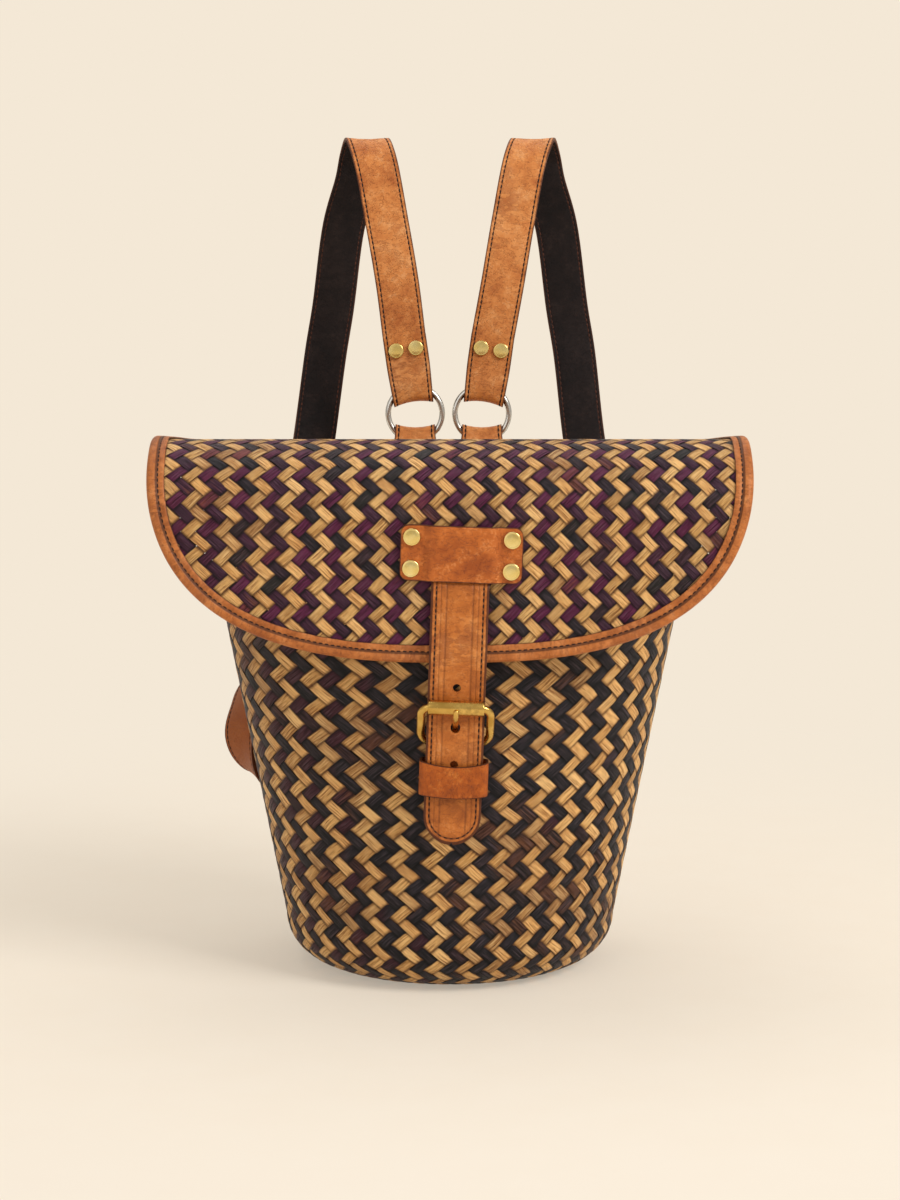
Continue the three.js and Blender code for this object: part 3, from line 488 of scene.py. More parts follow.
def plaitFamily(name, rising, dark, layout, tones, body, nodes=()):
    overCentre = overCentreOf(rising)
    lean = 1 if rising else -1
    low, high = layout["rise"]
    rows = int((high - low) * 2 * layout["segments"] / 4)
    first = layout["first"][rising] // 2 * 2 + int(dark)
    count = (layout["last"][rising] - first) // 2 + 1

    def strip(column, row):
        across = (column / 4 * 2 - 1) * layout["fill"]
        along = 2 * low + row / rows * 2 * (high - low)
        wave = np.cos(math.pi / 2 * (along - overCentre))
        height = layout["depth"] * np.sign(wave) * np.abs(wave) ** layout["flatness"]
        crown = layout["crown"] * (1 - (across / layout["fill"]) ** 2)
        x = (first + (across + lean * along) / 2) * layout["width"]
        y = (along - lean * across) / 2 * layout["height"]
        return placed(x, y, height + crown)

    obj, _, _ = gridPiece(name, 4, rows, strip)
    arrayed(obj, count, 2 * layout["width"])
    if "inside" in layout:
        flat = readPoints(obj) / mm
        selectOnly(obj, "vertices", ~layout["inside"](flat[:, 0], flat[:, 1]))
        bpy.ops.mesh.delete(type="VERT")
        bpy.ops.object.mode_set(mode="OBJECT")
    applied(obj, "SOLIDIFY", thickness=layout["thickness"] * mm, offset=0)
    flat = readPoints(obj) / mm
    column = flat[:, 0] / layout["width"]
    rise = flat[:, 1] / layout["height"]
    level = column - lean * rise
    index = 2 * np.rint((level - int(dark)) / 2) + int(dark)
    across = level - index
    along = 2 * rise + lean * across
    lift = np.cos(math.pi / 2 * (along - overCentre))
    markPoints(obj, "plait", placed(across, along, index))
    markPoints(obj, "lift", placed(lift, lift, lift))
    waver = 0.035 * np.sin(index * 2.4 + along * 0.9) + 0.07 * across * np.sin(index * 1.7)
    waver = waver + 0.02 * np.sin(index * 5.1 + along * 2.3)
    column = column + waver / 2
    rise = rise - lean * waver / 2
    writePoints(obj, layout["wrap"](column, rise, flat[:, 2] + layout["middle"]) * mm)
    finish = caneFinish(name, tones, caneShape(rising, dark))
    return finished(smoothed(obj), finish, body, nodes)


def plaited(name, layout, tones, body, node):
    for rising in (False, True):
        for dark in (False, True):
            kind = ("rising" if rising else "falling") + ("Dark" if dark else "Light")
            nodes = [node] if node and not rising and not dark else []
            label = f"{name}_{kind.lower()}"
            plaitFamily(label, rising, dark, layout, tones[kind], body, nodes)


# Basket body: the strips start under the base, turn up at the foot and end in the rim
body = {
    "strips": 64,
    "uneven": 0.085,  # the strips are wider on the left of the front than on the right
    "levelWidth": 150,  # height at which the strips are evenly wide
    "startRadius": 57,
    "periods": [(0, 14.2), (60, 15.0), (150, 15.6), (400, 15.6)],  # height of a zigzag, up the wall
}

ellipseTurns = np.linspace(-math.pi, math.pi, 1441)
ellipseX = halfWidthAt(body["levelWidth"]) * np.sin(ellipseTurns)
ellipseY = halfDepthAt(body["levelWidth"]) * np.cos(ellipseTurns)
ellipseRun = runAlong(placed(ellipseX, ellipseY))
evenTurns = (ellipseRun / ellipseRun[-1] - 0.5) * 2 * math.pi
unevenTurns = evenTurns - body["uneven"] * (np.cos(evenTurns) + 1)
columnOfTurn = unevenTurns * body["strips"] / (2 * math.pi)

footAngles = np.linspace(0, math.pi / 2, 60)
footReach = basket["cornerRadius"] - basket["baseRadius"]
footRadius = basket["baseRadius"] + footReach * np.sin(footAngles)
footHeight = basket["cornerHeight"] * (1 - np.cos(footAngles))
footRun = runAlong(placed(footRadius, footHeight))
baseRun = basket["baseRadius"] - body["startRadius"]
frontRun = baseRun + footRun[-1] + rimFront - basket["cornerHeight"]
runSteps = np.linspace(0, frontRun, 600)
periodHere = np.interp(runSteps, *zip(*body["periods"]))
riseSteps = np.concatenate([[0], np.cumsum(2 / periodHere[1:] * np.diff(runSteps))])
bodyRise = riseSteps[-1]


def wrapOnBody(column, rise, out):
    wrapped = (column + body["strips"] / 2) % body["strips"] - body["strips"] / 2
    turn = np.interp(wrapped, columnOfTurn, ellipseTurns)
    wallRun = rimAt(turn) - basket["cornerHeight"]
    scale = (baseRun + footRun[-1] + wallRun) / frontRun
    run = np.interp(np.clip(rise, 0, bodyRise), riseSteps, runSteps) * scale
    onFoot = np.clip(run - baseRun, 0, footRun[-1])
    angle = np.interp(onFoot, footRun, footAngles)
    radius = np.interp(onFoot, footRun, footRadius) - np.maximum(baseRun - run, 0)
    height = np.interp(onFoot, footRun, footHeight)
    climb = np.maximum(run - baseRun - footRun[-1], 0)
    halfWidth = radius + basket["widthFlare"] * climb + out * np.sin(angle)
    halfDepth = radius + basket["depthFlare"] * climb + out * np.sin(angle)
    z = height + climb - out * np.cos(angle)
    return placed(halfWidth * np.sin(turn), -halfDepth * np.cos(turn), z)


plaitSection = {"fill": 0.485, "depth": 0.36, "flatness": 0.38, "crown": 0.12, "thickness": 0.55}

bodyLayout = {
    **plaitSection,
    "segments": 8,
    "width": ellipseRun[-1] / body["strips"],
    "height": 7.5,
    "rise": (0, bodyRise),
    "first": (0, 0),
    "last": (body["strips"] - 1, body["strips"] - 1),
    "middle": -1.6,
    "wrap": wrapOnBody,
}
plaited("basket", bodyLayout, bodyCane, "basket", "basket_shell")
print("basket body plaited")

# Base: a flat plaited disc inside the foot
disc = {"radius": 61.5, "pitch": 8, "height": 3.1}


def wrapOnBase(column, rise, out):
    return placed(column * disc["pitch"], -rise * disc["pitch"], disc["height"] - out)


discReach = math.ceil(disc["radius"] / disc["pitch"])
discLayout = {
    **plaitSection,
    "segments": 6,
    "width": disc["pitch"],
    "height": disc["pitch"],
    "rise": (-discReach, discReach),
    "first": (-2 * discReach, -2 * discReach),
    "last": (2 * discReach, 2 * discReach),
    "inside": lambda x, y: np.hypot(x, y) < disc["radius"],
    "middle": 0,
    "wrap": wrapOnBase,
}
plaited("base", discLayout, bodyCane, "basket", None)
print("base plaited")

# Flap
flapPlait = {"pitch": 7.61, "narrowing": 0.0039, "period": 14.7, "edge": 2.2}
flapStep = flapPlait["period"] / 2
flapRise = math.ceil(flapLength / flapStep)
flapReach = math.ceil(flap["halfWidth"] / flapPlait["pitch"]) + 2


# The strips grow narrower from left to right
def acrossFlap(column):
    narrowing = flapPlait["narrowing"]
    return flapPlait["pitch"] / narrowing * (1 - np.exp(-narrowing * column))


def insideFlap(x, y):
    along = flapLength - y
    sideways = acrossFlap(x / flapPlait["pitch"])
    inset = flapPlait["edge"]
    half = flapHalfAt(along + inset) - inset
    return (np.abs(sideways) < half) & (along > 0.6) & (along < flapLength - inset)


def wrapOnFlap(column, rise, out):
    return flapPoint(acrossFlap(column), flapLength - rise * flapStep, out)


flapLayout = {
    **plaitSection,
    "segments": 8,
    "width": flapPlait["pitch"],
    "height": flapStep,
    "rise": (-1, flapRise + 1),
    "first": (-flapReach - 2, -flapReach - flapRise - 3),
    "last": (flapReach + flapRise + 3, flapReach + 2),
    "inside": insideFlap,
    "middle": -1.25,
    "wrap": wrapOnFlap,
}
plaited("flap", flapLayout, flapCane, "flap", "flap_panel")
print("flap plaited")

# Leather, thread and metal finishes

def leatherFinish(name, tones, wear, lines=(), low=None):
    finish = Finish(name, Specular_IOR_Level=wear["sheen"])
    place = finish.objectSpace()
    across, edge, along = finish.split(finish.attribute("hide"))
    cloud = finish.noise(place, 22, 4, 0.6)
    mottle = finish.noise(place, 110, 5, 0.65)
    grain = finish.noise(place, 800, 3, 0.6)
    creaseSpace = finish.joinXyz(across * 0.2 + cloud * 5, along * 0.34 + cloud * 3, edge * 0.05)
    crease = finish.noise(creaseSpace, 1, 4, 0.6)
    # Crease lines are darkened, partly as the leather's own darker colour in its creases and partly
    # as painted shade in them; the bump also sinks them
    creased = 1 - finish.step(abs(crease - 0.5), 0.004, 0.02)
    colour = finish.ramp(
        cloud * 0.5 + mottle * 0.5,
        (0.36, tones["deep"]), (0.5, tones["middle"]), (0.64, tones["light"]),
    )
    rubbed = finish.step(mottle * 0.6 + grain * 0.4, 0.52, 0.66) * wear["rub"]
    colour = finish.blend(rubbed, colour, tones["rubbed"])
    colour = finish.blend(creased * wear["crease"], colour, tones["crease"], "MULTIPLY")
    grimy = finish.step(cloud * 0.65 + crease * 0.35, 0.53, 0.66) * wear["grime"]
    colour = finish.blend(grimy, colour, tones["crease"], "MULTIPLY")
    # Painted shade: the colour is darkened towards the bottom of the piece, below 0.2 m
    if low:
        _, _, z = finish.split(place)
        paintedLowShade = (1 - finish.step(z, 0.14, 0.2)) * 0.85
        colour = finish.blend(paintedLowShade, colour, low)
    # Pressed lines are sunk by the bump and darkened with painted shade; the burnished edges get the
    # same dark colour as their own colour
    groovesWithPaintedShade = 0
    for channel, level, width, depth in lines:
        distance = abs(abs({"across": across, "edge": edge}[channel]) - level)
        groovesWithPaintedShade = (1 - finish.step(distance, width * 0.3, width)) * depth + groovesWithPaintedShade
    ragged = edge + mottle * 0.8 - 0.4
    burnished = 1 - finish.step(ragged, wear["edge"] * 0.3, wear["edge"])
    dark = (burnished * 0.9).orMore(groovesWithPaintedShade)
    colour = finish.blend(dark, colour, tones["edge"])
    height = grain * 0.5 + mottle * 0.4 + crease * 0.3 - creased * 0.25 - groovesWithPaintedShade * 0.8
    finish.feed(
        Base_Color=colour,
        Roughness=wear["rough"] + mottle * 0.2 - rubbed * 0.1,
        Normal=finish.bump(height, wear["relief"]),
    )
    return finish.material


toneNames = ["light", "middle", "deep", "rubbed", "crease", "edge"]
leatherColours = {
    "tan": ["#E29A5A", "#CF8141", "#AE6029", "#EBB07A", "#A06A44", "#4E2410"],
    "saddle": ["#D28440", "#BB6A29", "#98501B", "#DF9B62", "#955C36", "#4A210E"],
    "russet": ["#D47C3A", "#BD6524", "#994A17", "#E0985C", "#925832", "#451F0D"],
    "chestnut": ["#C46C1F", "#AC5412", "#873D0A", "#D18742", "#8A4F24", "#3C1A0A"],
    "binding": ["#CE8146", "#B96C32", "#985020", "#DA9A64", "#8E5A38", "#42200E"],
    "lining": ["#2A201E", "#1F1615", "#150F0F", "#382A25", "#8A7A74", "#4A2A1C"],
}
leatherTones = {
    name: dict(zip(toneNames, colours)) for name, colours in leatherColours.items()
}
strapWear = {
    "rub": 0.35, "crease": 0.35, "grime": 0.5, "edge": 0.9,
    "rough": 0.4, "relief": 0.35, "sheen": 0.32,
}
closureWear = {**strapWear, "edge": 0.6, "crease": 0.3}
plateWear = {**strapWear, "rub": 0.4, "grime": 0.6, "edge": 0.7, "rough": 0.36}
bindingWear = {**strapWear, "rub": 0.3, "edge": 0.45, "relief": 0.5}
liningWear = {**strapWear, "rub": 0.3, "crease": 0.4, "grime": 0.2, "rough": 0.5, "sheen": 0.2}

# Pressed lines, each a groove with painted shade along it: measured from the edge or the middle, at
# what distance, how wide and how deep
seamInset = 2.1  # of the stitches on straps and tabs, from their edges
strapSeam = [("edge", seamInset, 0.65, 0.7)]
# The straps' lower ends are darkened with painted shade
strapLeather = leatherFinish(
    "strap_leather", leatherTones["tan"], strapWear, strapSeam, low="#8A420C"
)
tanLeather = leatherFinish("tan_leather", leatherTones["tan"], strapWear)
ringTabLeather = leatherFinish("tab_leather", leatherTones["tan"], strapWear, strapSeam)
# The closure strap's seam and crease lines are darkened with painted shade
closureLeather = leatherFinish(
    "closure_leather", leatherTones["saddle"], closureWear,
    [("edge", 2.0, 0.65, 0.6), ("across", 6.8, 0.7, 0.32), ("across", 9.6, 0.5, 0.25)],
)
plateLeather = leatherFinish("plate_leather", leatherTones["russet"], plateWear)
keeperLeather = leatherFinish("keeper_leather", leatherTones["chestnut"], plateWear)
bindingLeather = leatherFinish(
    "binding_leather", leatherTones["binding"], bindingWear, [("across", 4.3, 1.0, 0.8)]
)
liningLeather = leatherFinish(
    "lining_leather", leatherTones["lining"], liningWear, [("edge", seamInset, 0.5, 0.5)]
)


def threadFinish(name, pale, deep):
    finish = Finish(name, Specular_IOR_Level=0.3, Roughness=0.7)
    twist = finish.noise(finish.objectSpace(), 1800, 2)
    finish.feed(
        Base_Color=finish.ramp(twist, (0.35, deep), (0.65, pale)),
        Normal=finish.bump(twist, 0.1),
    )
    return finish.material


darkThread = threadFinish("dark_thread", "#341B10", "#1A0D08")
liningThread = threadFinish("lining_thread", "#5A3020", "#2C1810")


# The tarnish starts at "from" on a scale of the metal's clouds
def metalFinish(name, bright, middle, tarnish, gloss):
    finish = Finish(name, Metallic=1)
    place = finish.objectSpace()
    cloud = finish.noise(place, 90, 3, 0.55)
    speck = finish.noise(place, 500, 3, 0.6)
    colour = finish.ramp(cloud, (0.35, middle), (0.62, bright))
    dullness = cloud * 0.6 + speck * 0.4
    dulled = finish.step(dullness, gloss["from"], gloss["from"] + 0.12) * gloss["share"]
    colour = finish.blend(dulled, colour, tarnish)
    finish.feed(
        Base_Color=colour,
        Roughness=gloss["rough"] + cloud * 0.12 + dulled * 0.2,
        Normal=finish.bump(speck, 0.01),
    )
    return finish.material


brightBrass = metalFinish(
    "bright_brass", "#FBE7A2", "#EFD07C", "#A8843F", {"from": 0.56, "share": 0.45, "rough": 0.2}
)
agedBrass = metalFinish(
    "aged_brass", "#E5BC68", "#C59A4A", "#6E5628", {"from": 0.52, "share": 0.4, "rough": 0.2}
)
satinNickel = metalFinish(
    "satin_nickel", "#E4E1DA", "#CFCBC4", "#8F8880", {"from": 0.58, "share": 0.4, "rough": 0.16}
)
print("finishes made")


# Leather pieces: a sheet of places becomes leather of an even thickness with rounded edges

def leatherPiece(name, places, hide, thick, loop=False):
    rows, columns = places.shape[:2]
    obj, column, row = gridPiece(name, columns - 1, rows - 1, lambda c, r: places[r, c])
    markPoints(obj, "hide", hide[row, column])
    if loop:
        welded(obj)
    applied(obj, "SOLIDIFY", thickness=thick * mm, offset=0)
    applied(
        obj, "BEVEL", width=0.24 * thick * mm, segments=2, limit_method="ANGLE",
        angle_limit=math.radians(55),
    )
    return smoothed(obj, 60)


# How far in from its edges a strap is sampled, to its middle, and how deep it is pressed there
strapInsets = np.array([0, 0.4, 1.1, 1.7, seamInset, 2.5, 3.2, 5.0, 8.0, 12.4])
strapDepths = np.array([-0.12, -0.02, 0.0, -0.08, -0.2, -0.08, 0.0, 0.05, 0.07, 0.08])


def strapPlaces(at, across, normal, half, offset, push=None, side=1):
    reach = strapInsets[-1]
    insets = np.concatenate([strapInsets, strapInsets[-2::-1]])
    signs = np.concatenate([-np.ones(len(strapInsets)), np.ones(len(strapInsets) - 1)])
    depths = np.concatenate([strapDepths, strapDepths[-2::-1]])
    share = signs * (1 - insets / reach)
    sideways = share[None, :] * half[:, None]
    out = offset + side * depths[None, :] * np.minimum(half / reach, 1)[:, None]
    places = at[:, None] + across[:, None] * sideways[..., None] + normal[:, None] * out[..., None]
    if push is not None:
        places = places + push[:, None] * (1 - share ** 2)[None, :, None]
    along = runAlong(at)[:, None]
    fromEnd = np.minimum(along, along[-1] - along)
    fromSide = insets * np.minimum(half / reach, 1)[:, None]
    return places, placed(sideways, np.minimum(fromSide, fromEnd), along)


# Squares a width with a path's heading, and gives the normal of the face between them
def facesAlong(at, across, loop=False):
    ahead = np.roll(at, -1, axis=0)
    behind = np.roll(at, 1, axis=0)
    if not loop:
        ahead[-1] = at[-1]
        behind[0] = at[0]
    heading = unit(ahead - behind)
    across = np.asarray(across, float)
    across = unit(across - heading * np.sum(across * heading, axis=1, keepdims=True))
    return across, np.cross(across, heading)


# A smooth curve through points with some steps in each span. Where the points lie unevenly it is
# rounded by their distances, which the turns of a strap don't need
def curveThrough(points, steps, rounded=True):
    points = np.asarray(points, float)
    first = 2 * points[0] - points[1]
    last = 2 * points[-1] - points[-2]
    framed = np.vstack([first, points, last])
    made = []
    for k in range(len(points) - 1):
        a, b, c, d = framed[k:k + 4]
        if rounded:
            spans = [b - a, c - b, d - c]
            ab, bc, cd = [max(np.linalg.norm(span), 1e-4) ** 0.5 for span in spans]
            leave = ((b - a) / ab - (c - a) / (ab + bc) + (c - b) / bc) * bc
            arrive = ((c - b) / bc - (d - b) / (bc + cd) + (d - c) / cd) * bc
        else:
            leave = (c - a) / 2
            arrive = (d - b) / 2
        for t in np.arange(steps) / steps:
            bend = -3 * b + 3 * c - 2 * leave - arrive
            end = 2 * b - 2 * c + leave + arrive
            made.append(b + leave * t + bend * t ** 2 + end * t ** 3)
    return np.array(made + [points[-1]])


# Stitches: one small bead of thread, arrayed and laid along a line with even steps
stitch = {
    "pitch": 3.1, "length": 2.5, "width": 0.95, "height": 0.5, "sides": 6, "rows": 4,
    "apart": 10,  # between the beads before they are laid
    "sight": 0.8,  # how far ahead and behind the line is read for a stitch's heading
}


def stitchLine(name, line, normals, finish, body):
    normals = np.broadcast_to(normals, line.shape)
    run = runAlong(line)
    count = int(run[-1] / stitch["pitch"])
    wanted = (np.arange(count) + 0.5) * run[-1] / count
    spots = sampled(wanted, run, line)
    sight = stitch["sight"]
    heading = unit(sampled(wanted + sight, run, line) - sampled(wanted - sight, run, line))
    sideways = unit(np.cross(unit(sampled(wanted, run, normals)), heading))
    up = np.cross(heading, sideways)

    def bead(column, row):
        angle = 2 * math.pi * column / stitch["sides"]
        share = row / stitch["rows"] * 2 - 1
        girth = np.sqrt(np.clip(1 - share ** 4, 0, 1)) / 2
        wide = girth * stitch["width"] * np.cos(angle)
        return placed(share * stitch["length"] / 2, wide, girth * stitch["height"] * np.sin(angle))

    obj, _, _ = gridPiece(name, stitch["sides"], stitch["rows"], bead)
    arrayed(closedUp(obj), count, stitch["apart"])
    flat = readPoints(obj) / mm
    number = np.rint(flat[:, 0] / stitch["apart"]).astype(int)
    local = flat - placed(number * stitch["apart"], 0, 0)
    laid = (
        spots[number] + heading[number] * local[:, :1]
        + sideways[number] * local[:, 1:2] + up[number] * local[:, 2:]
    )
    writePoints(obj, laid * mm)
    return finished(smoothed(obj, 80), finish, body=body)


# A round bar or wire along a path, its section given as half width and half height at each place
def wirePiece(name, path, sideways, wide, high, sides=16, loop=False):
    across, up = facesAlong(path, sideways, loop)
    wide = np.broadcast_to(wide, len(path))
    high = np.broadcast_to(high, len(path))
    if loop:
        path, across, up, wide, high = [
            np.concatenate([part, part[:1]]) for part in (path, across, up, wide, high)
        ]

    def shape(column, row):
        angle = 2 * math.pi * column / sides
        reach = (wide[row] * np.cos(angle))[:, None]
        rise = (high[row] * np.sin(angle))[:, None]
        return path[row] + across[row] * reach + up[row] * rise

    obj, _, _ = gridPiece(name, sides, len(path) - 1, shape)
    return smoothed(closedUp(obj))


# A turned piece: its outline as radius and height, spun about a direction
def turnedPiece(name, outline, at, along, segments=32):
    outline = np.asarray(outline, float)
    along = unit(np.asarray(along, float))
    aside = unit(np.cross(along, [0.31, 0.17, 0.93]))
    third = np.cross(along, aside)

    def shape(column, row):
        angle = 2 * math.pi * column / segments
        radius = outline[row, 0][:, None]
        level = outline[row, 1][:, None]
        ring = np.cos(angle)[:, None] * aside + np.sin(angle)[:, None] * third
        return at + ring * radius + along * level

    obj, _, _ = gridPiece(name, segments, len(outline) - 1, shape)
    return smoothed(closedUp(obj))


# Outline of a rivet's cap as radius and height
rivetCap = [
    (4.5, 0.0), (4.5, 0.55), (4.42, 0.85), (4.2, 1.08), (3.9, 1.16), (3.62, 1.1), (3.4, 1.12),
    (2.6, 1.26), (1.4, 1.33), (0, 1.35),
]
capRadius = rivetCap[0][0]


def rivetPiece(name, at, along, grip, radius=capRadius, tall=1.0):
    foot = -grip - clearance
    post = [(0, foot - 0.8), (2.9, foot - 0.8), (3.6, foot - 0.5), (3.6, foot)]
    post = post + [(1.5, foot), (1.5, clearance), (radius - 0.5, clearance)]
    cap = [(r * radius / capRadius, clearance + h * tall) for r, h in rivetCap]
    rivet = turnedPiece(name, post + cap, np.asarray(at), along)
    body = "flap" if name.startswith("closure_rivet") else "basket"
    return finished(rivet, brightBrass, body, [name])


# Bindings

rimLeather = {"thick": 1.8, "around": 220, "seamFall": 10.2, "seamOut": 1.85, "meanRadius": 110}
rimTurns = np.linspace(-math.pi, math.pi, rimLeather["around"] + 1)
foldAngles = np.linspace(0, math.pi, 9)
rimSection = np.array(
    [(1.2, -14), (1.25, -12), (1.1, -10.8), (0.95, -10.2), (1.1, -9.6), (1.3, -8), (1.3, -4)]
    + [(-1.6 + 2.8 * math.cos(a), -1.2 + 2.4 * math.sin(a)) for a in foldAngles]
    + [(-4.4, -4), (-4.4, -8), (-4.4, -12), (-4.4, -14)]
)
out, up = rimSection.T
sectionRun = runAlong(rimSection)
rimPlaces = wallPoint(rimTurns[:, None], rimAt(rimTurns)[:, None] + up, out)
rimEdge = np.minimum(sectionRun, sectionRun[-1] - sectionRun)
rimHide = placed(sectionRun, rimEdge, rimTurns[:, None] * rimLeather["meanRadius"])
rimBinding = leatherPiece("rim_binding", rimPlaces, rimHide, rimLeather["thick"], loop=True)
finished(rimBinding, bindingLeather, "basket", ["rim_binding"])
rimStitches = wallPoint(rimTurns, rimAt(rimTurns) - rimLeather["seamFall"], rimLeather["seamOut"])
rimOutward = placed(np.sin(rimTurns), -np.cos(rimTurns), 0)
stitchLine("rim_stitches", rimStitches, rimOutward, darkThread, "basket")

flapEdge = {"thick": 1.5, "bulge": 2.4, "stitchReach": -4.1, "step": 2.4}
edgeSection = np.array(
    [(-7.2, -0.25), (-6.9, 0.02), (-6.1, 0.18), (-5.2, 0.08), (-4.6, -0.15), (-4.1, -0.3)]
    + [(-3.6, -0.08), (-2.9, 0.3), (-1.9, 0.5)]
    + [(-1.2 + 2.25 * math.cos(a), -1.6 + 2.15 * math.sin(a)) for a in np.linspace(1.45, -1.45, 9)]
    + [(-2.2, -3.6), (-4.1, -3.1), (-7.9, -3.1)]
)
deepness = np.sin(np.linspace(0, math.pi / 2, 400)) ** (2 / flap["roundness"])
straightAlong = np.linspace(0, taperStart, 300)[:-1]
sideAlong = np.concatenate([straightAlong, taperStart + taperLength * deepness])
sideHalf = flapHalfAt(sideAlong)
outline = np.concatenate([placed(-sideHalf, sideAlong), placed(sideHalf, sideAlong)[-2::-1]])
outlineRun = runAlong(outline)
evenRun = np.linspace(0, outlineRun[-1], int(outlineRun[-1] / flapEdge["step"]))
outline = sampled(evenRun, outlineRun, outline)
edgeHeading = unit(np.gradient(outline, axis=0))
edgeAway = placed(-edgeHeading[:, 1], edgeHeading[:, 0])


def byFlapEdge(reach, out):
    flat = outline[:, None] + edgeAway[:, None] * np.asarray(reach)[..., None]
    return flapPoint(flat[..., 0], flat[..., 1], out)


edgeRun = runAlong(edgeSection)
edgePlaces = byFlapEdge(edgeSection[None, :, 0], edgeSection[None, :, 1])
edgeHide = placed(edgeRun, np.minimum(edgeRun, edgeRun[-1] - edgeRun), evenRun[:, None])
flapBinding = leatherPiece("flap_binding", edgePlaces, edgeHide, flapEdge["thick"])
finished(flapBinding, bindingLeather, "flap", ["flap_binding"])
edgeStitches = byFlapEdge([[flapEdge["stitchReach"]]], 0.5)[:, 0]
edgeUpward = unit(byFlapEdge([[flapEdge["stitchReach"]]], 3)[:, 0] - edgeStitches)
stitchLine("flap_stitches", edgeStitches, edgeUpward, darkThread, "flap")
print("bindings made")

# Hinge strip: up the back wall, over the rim binding and forward under the flap
strip = {
    "width": 90, "thick": 1.8, "fall": 51, "reach": 28, "bend": 2.2, "ease": 0.15,
    "underFlap": 4.55, "rimLeg": 14, "rimOuter": 2.1, "seamInset": 2.6, "seamOut": 1.05,
}
hinge = {"y": halfDepthAt(rimBack) + 3.15, "z": rimBack + 5}
stripFoldY = hinge["y"] + 1
lapRoom = flap["backY"] - stripFoldY + strip["bend"]
lapRoom = lapRoom - (strip["underFlap"] + strip["bend"]) * math.sin(topRise)
lapStart = lapRoom / math.cos(topRise)
lapDepth = strip["underFlap"] - flapSag(lapStart)
stripFoldZ = flapPoint(0, lapStart, -lapDepth)[2] - strip["bend"] * math.cos(topRise)


def stripY(x, z):
    rimBottom = rimBack - strip["rimLeg"]
    overRim = ramped(z, rimBottom - 16, rimBottom - 3)
    away = clearance + overRim * strip["rimOuter"] + strip["ease"] + strip["thick"] / 2
    straight = ramped(z, rimBottom - 20, stripFoldZ)
    return (wallY(x, z) + away) * (1 - straight) + stripFoldY * straight


stripAcross = np.linspace(-strip["width"] / 2, strip["width"] / 2, 37)
wallHeights = np.linspace(hinge["z"] - strip["fall"], stripFoldZ, 30)[:-1]
stripRows = [placed(stripAcross, stripY(stripAcross, z), z) for z in wallHeights]
for angle in np.linspace(0, math.pi / 2 - topRise, 8):
    y = stripFoldY - strip["bend"] + strip["bend"] * math.cos(angle)
    z = stripFoldZ + strip["bend"] * math.sin(angle)
    stripRows.append(placed(stripAcross, y, z))
for along in np.linspace(lapStart + 2, strip["reach"], 10):
    stripRows.append(flapPoint(stripAcross, along, flapSag(along) - strip["underFlap"]))
stripPlaces = np.array(stripRows)
stripRun = runAlong(stripPlaces[:, len(stripAcross) // 2])[:, None]
stripSide = strip["width"] / 2 - np.abs(stripAcross)
stripEdge = np.minimum(stripSide, np.minimum(stripRun, stripRun.max() - stripRun))
stripHide = placed(stripAcross, stripEdge, stripRun)
hingeLeather = leatherPiece("hinge_strip", stripPlaces, stripHide, strip["thick"])
finished(hingeLeather, tanLeather, nodes=["hinge_strip"])
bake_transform(hingeLeather)
seamSide = strip["width"] / 2 - strip["seamInset"]
seamFoot = hinge["z"] - strip["fall"] + strip["seamInset"]
seamRise = np.linspace(seamFoot + 1, stripFoldZ - 6, 24)
seamAcross = np.linspace(-seamSide, seamSide, 40)
seamEdge = np.full(len(seamRise), seamSide)
seamX = np.concatenate([-seamEdge, seamAcross, seamEdge])
seamZ = np.concatenate([seamRise[::-1], np.full(len(seamAcross), seamFoot), seamRise])
seamLine = placed(seamX, stripY(seamX, seamZ) + strip["seamOut"], seamZ)
stitchLine("hinge_stitches", seamLine, (0, 1, 0), darkThread, "basket")
print("hinge strip made")

# Rings and their tabs, and the shoulder straps: tan leather outside and dark lining inside

innerWall = basket["wall"] + 0.25  # what a rivet takes in beyond the wall's outer face

sides = {
    "left": {"hand": -1, "ringX": -20.4, "endTurn": 115},
    "right": {"hand": 1, "ringX": 18.7, "endTurn": 118},
}
ring = {"radius": 15.8, "wire": 1.7, "behindHinge": 10, "aboveHinge": 16.5}
ringPlaneY = hinge["y"] + ring["behindHinge"]
ringCentreZ = hinge["z"] + ring["aboveHinge"]
tab = {
    "thick": 1.6, "half": 13.5, "foldHalf": 11.6, "fall": 47, "rivetFall": 36, "rivetApart": 12,
    "flatReach": 7, "bends": [22, 15], "bottomSag": 0.55, "topSag": 0.1, "plyEase": 0.1, "dip": 2.0,
    "inner": [(4.1, -3), (5.6, 2)], "outer": [(0, 0.5), (1.9, -7), (5.2, -14)], "clearance": 7.8,
}


def ringPiece(name, side):
    angles = np.linspace(0, 2 * math.pi, 72, endpoint=False)
    path = placed(
        side["ringX"] + ring["radius"] * np.sin(angles), ringPlaneY,
        ringCentreZ + ring["radius"] * np.cos(angles),
    )
    weld = 1 + 0.1 * np.exp(-((angles - 2.2) / 0.05) ** 2)
    radius = ring["wire"] * weld
    return wirePiece(name, path, (0, 1, 0), radius, radius, loop=True)


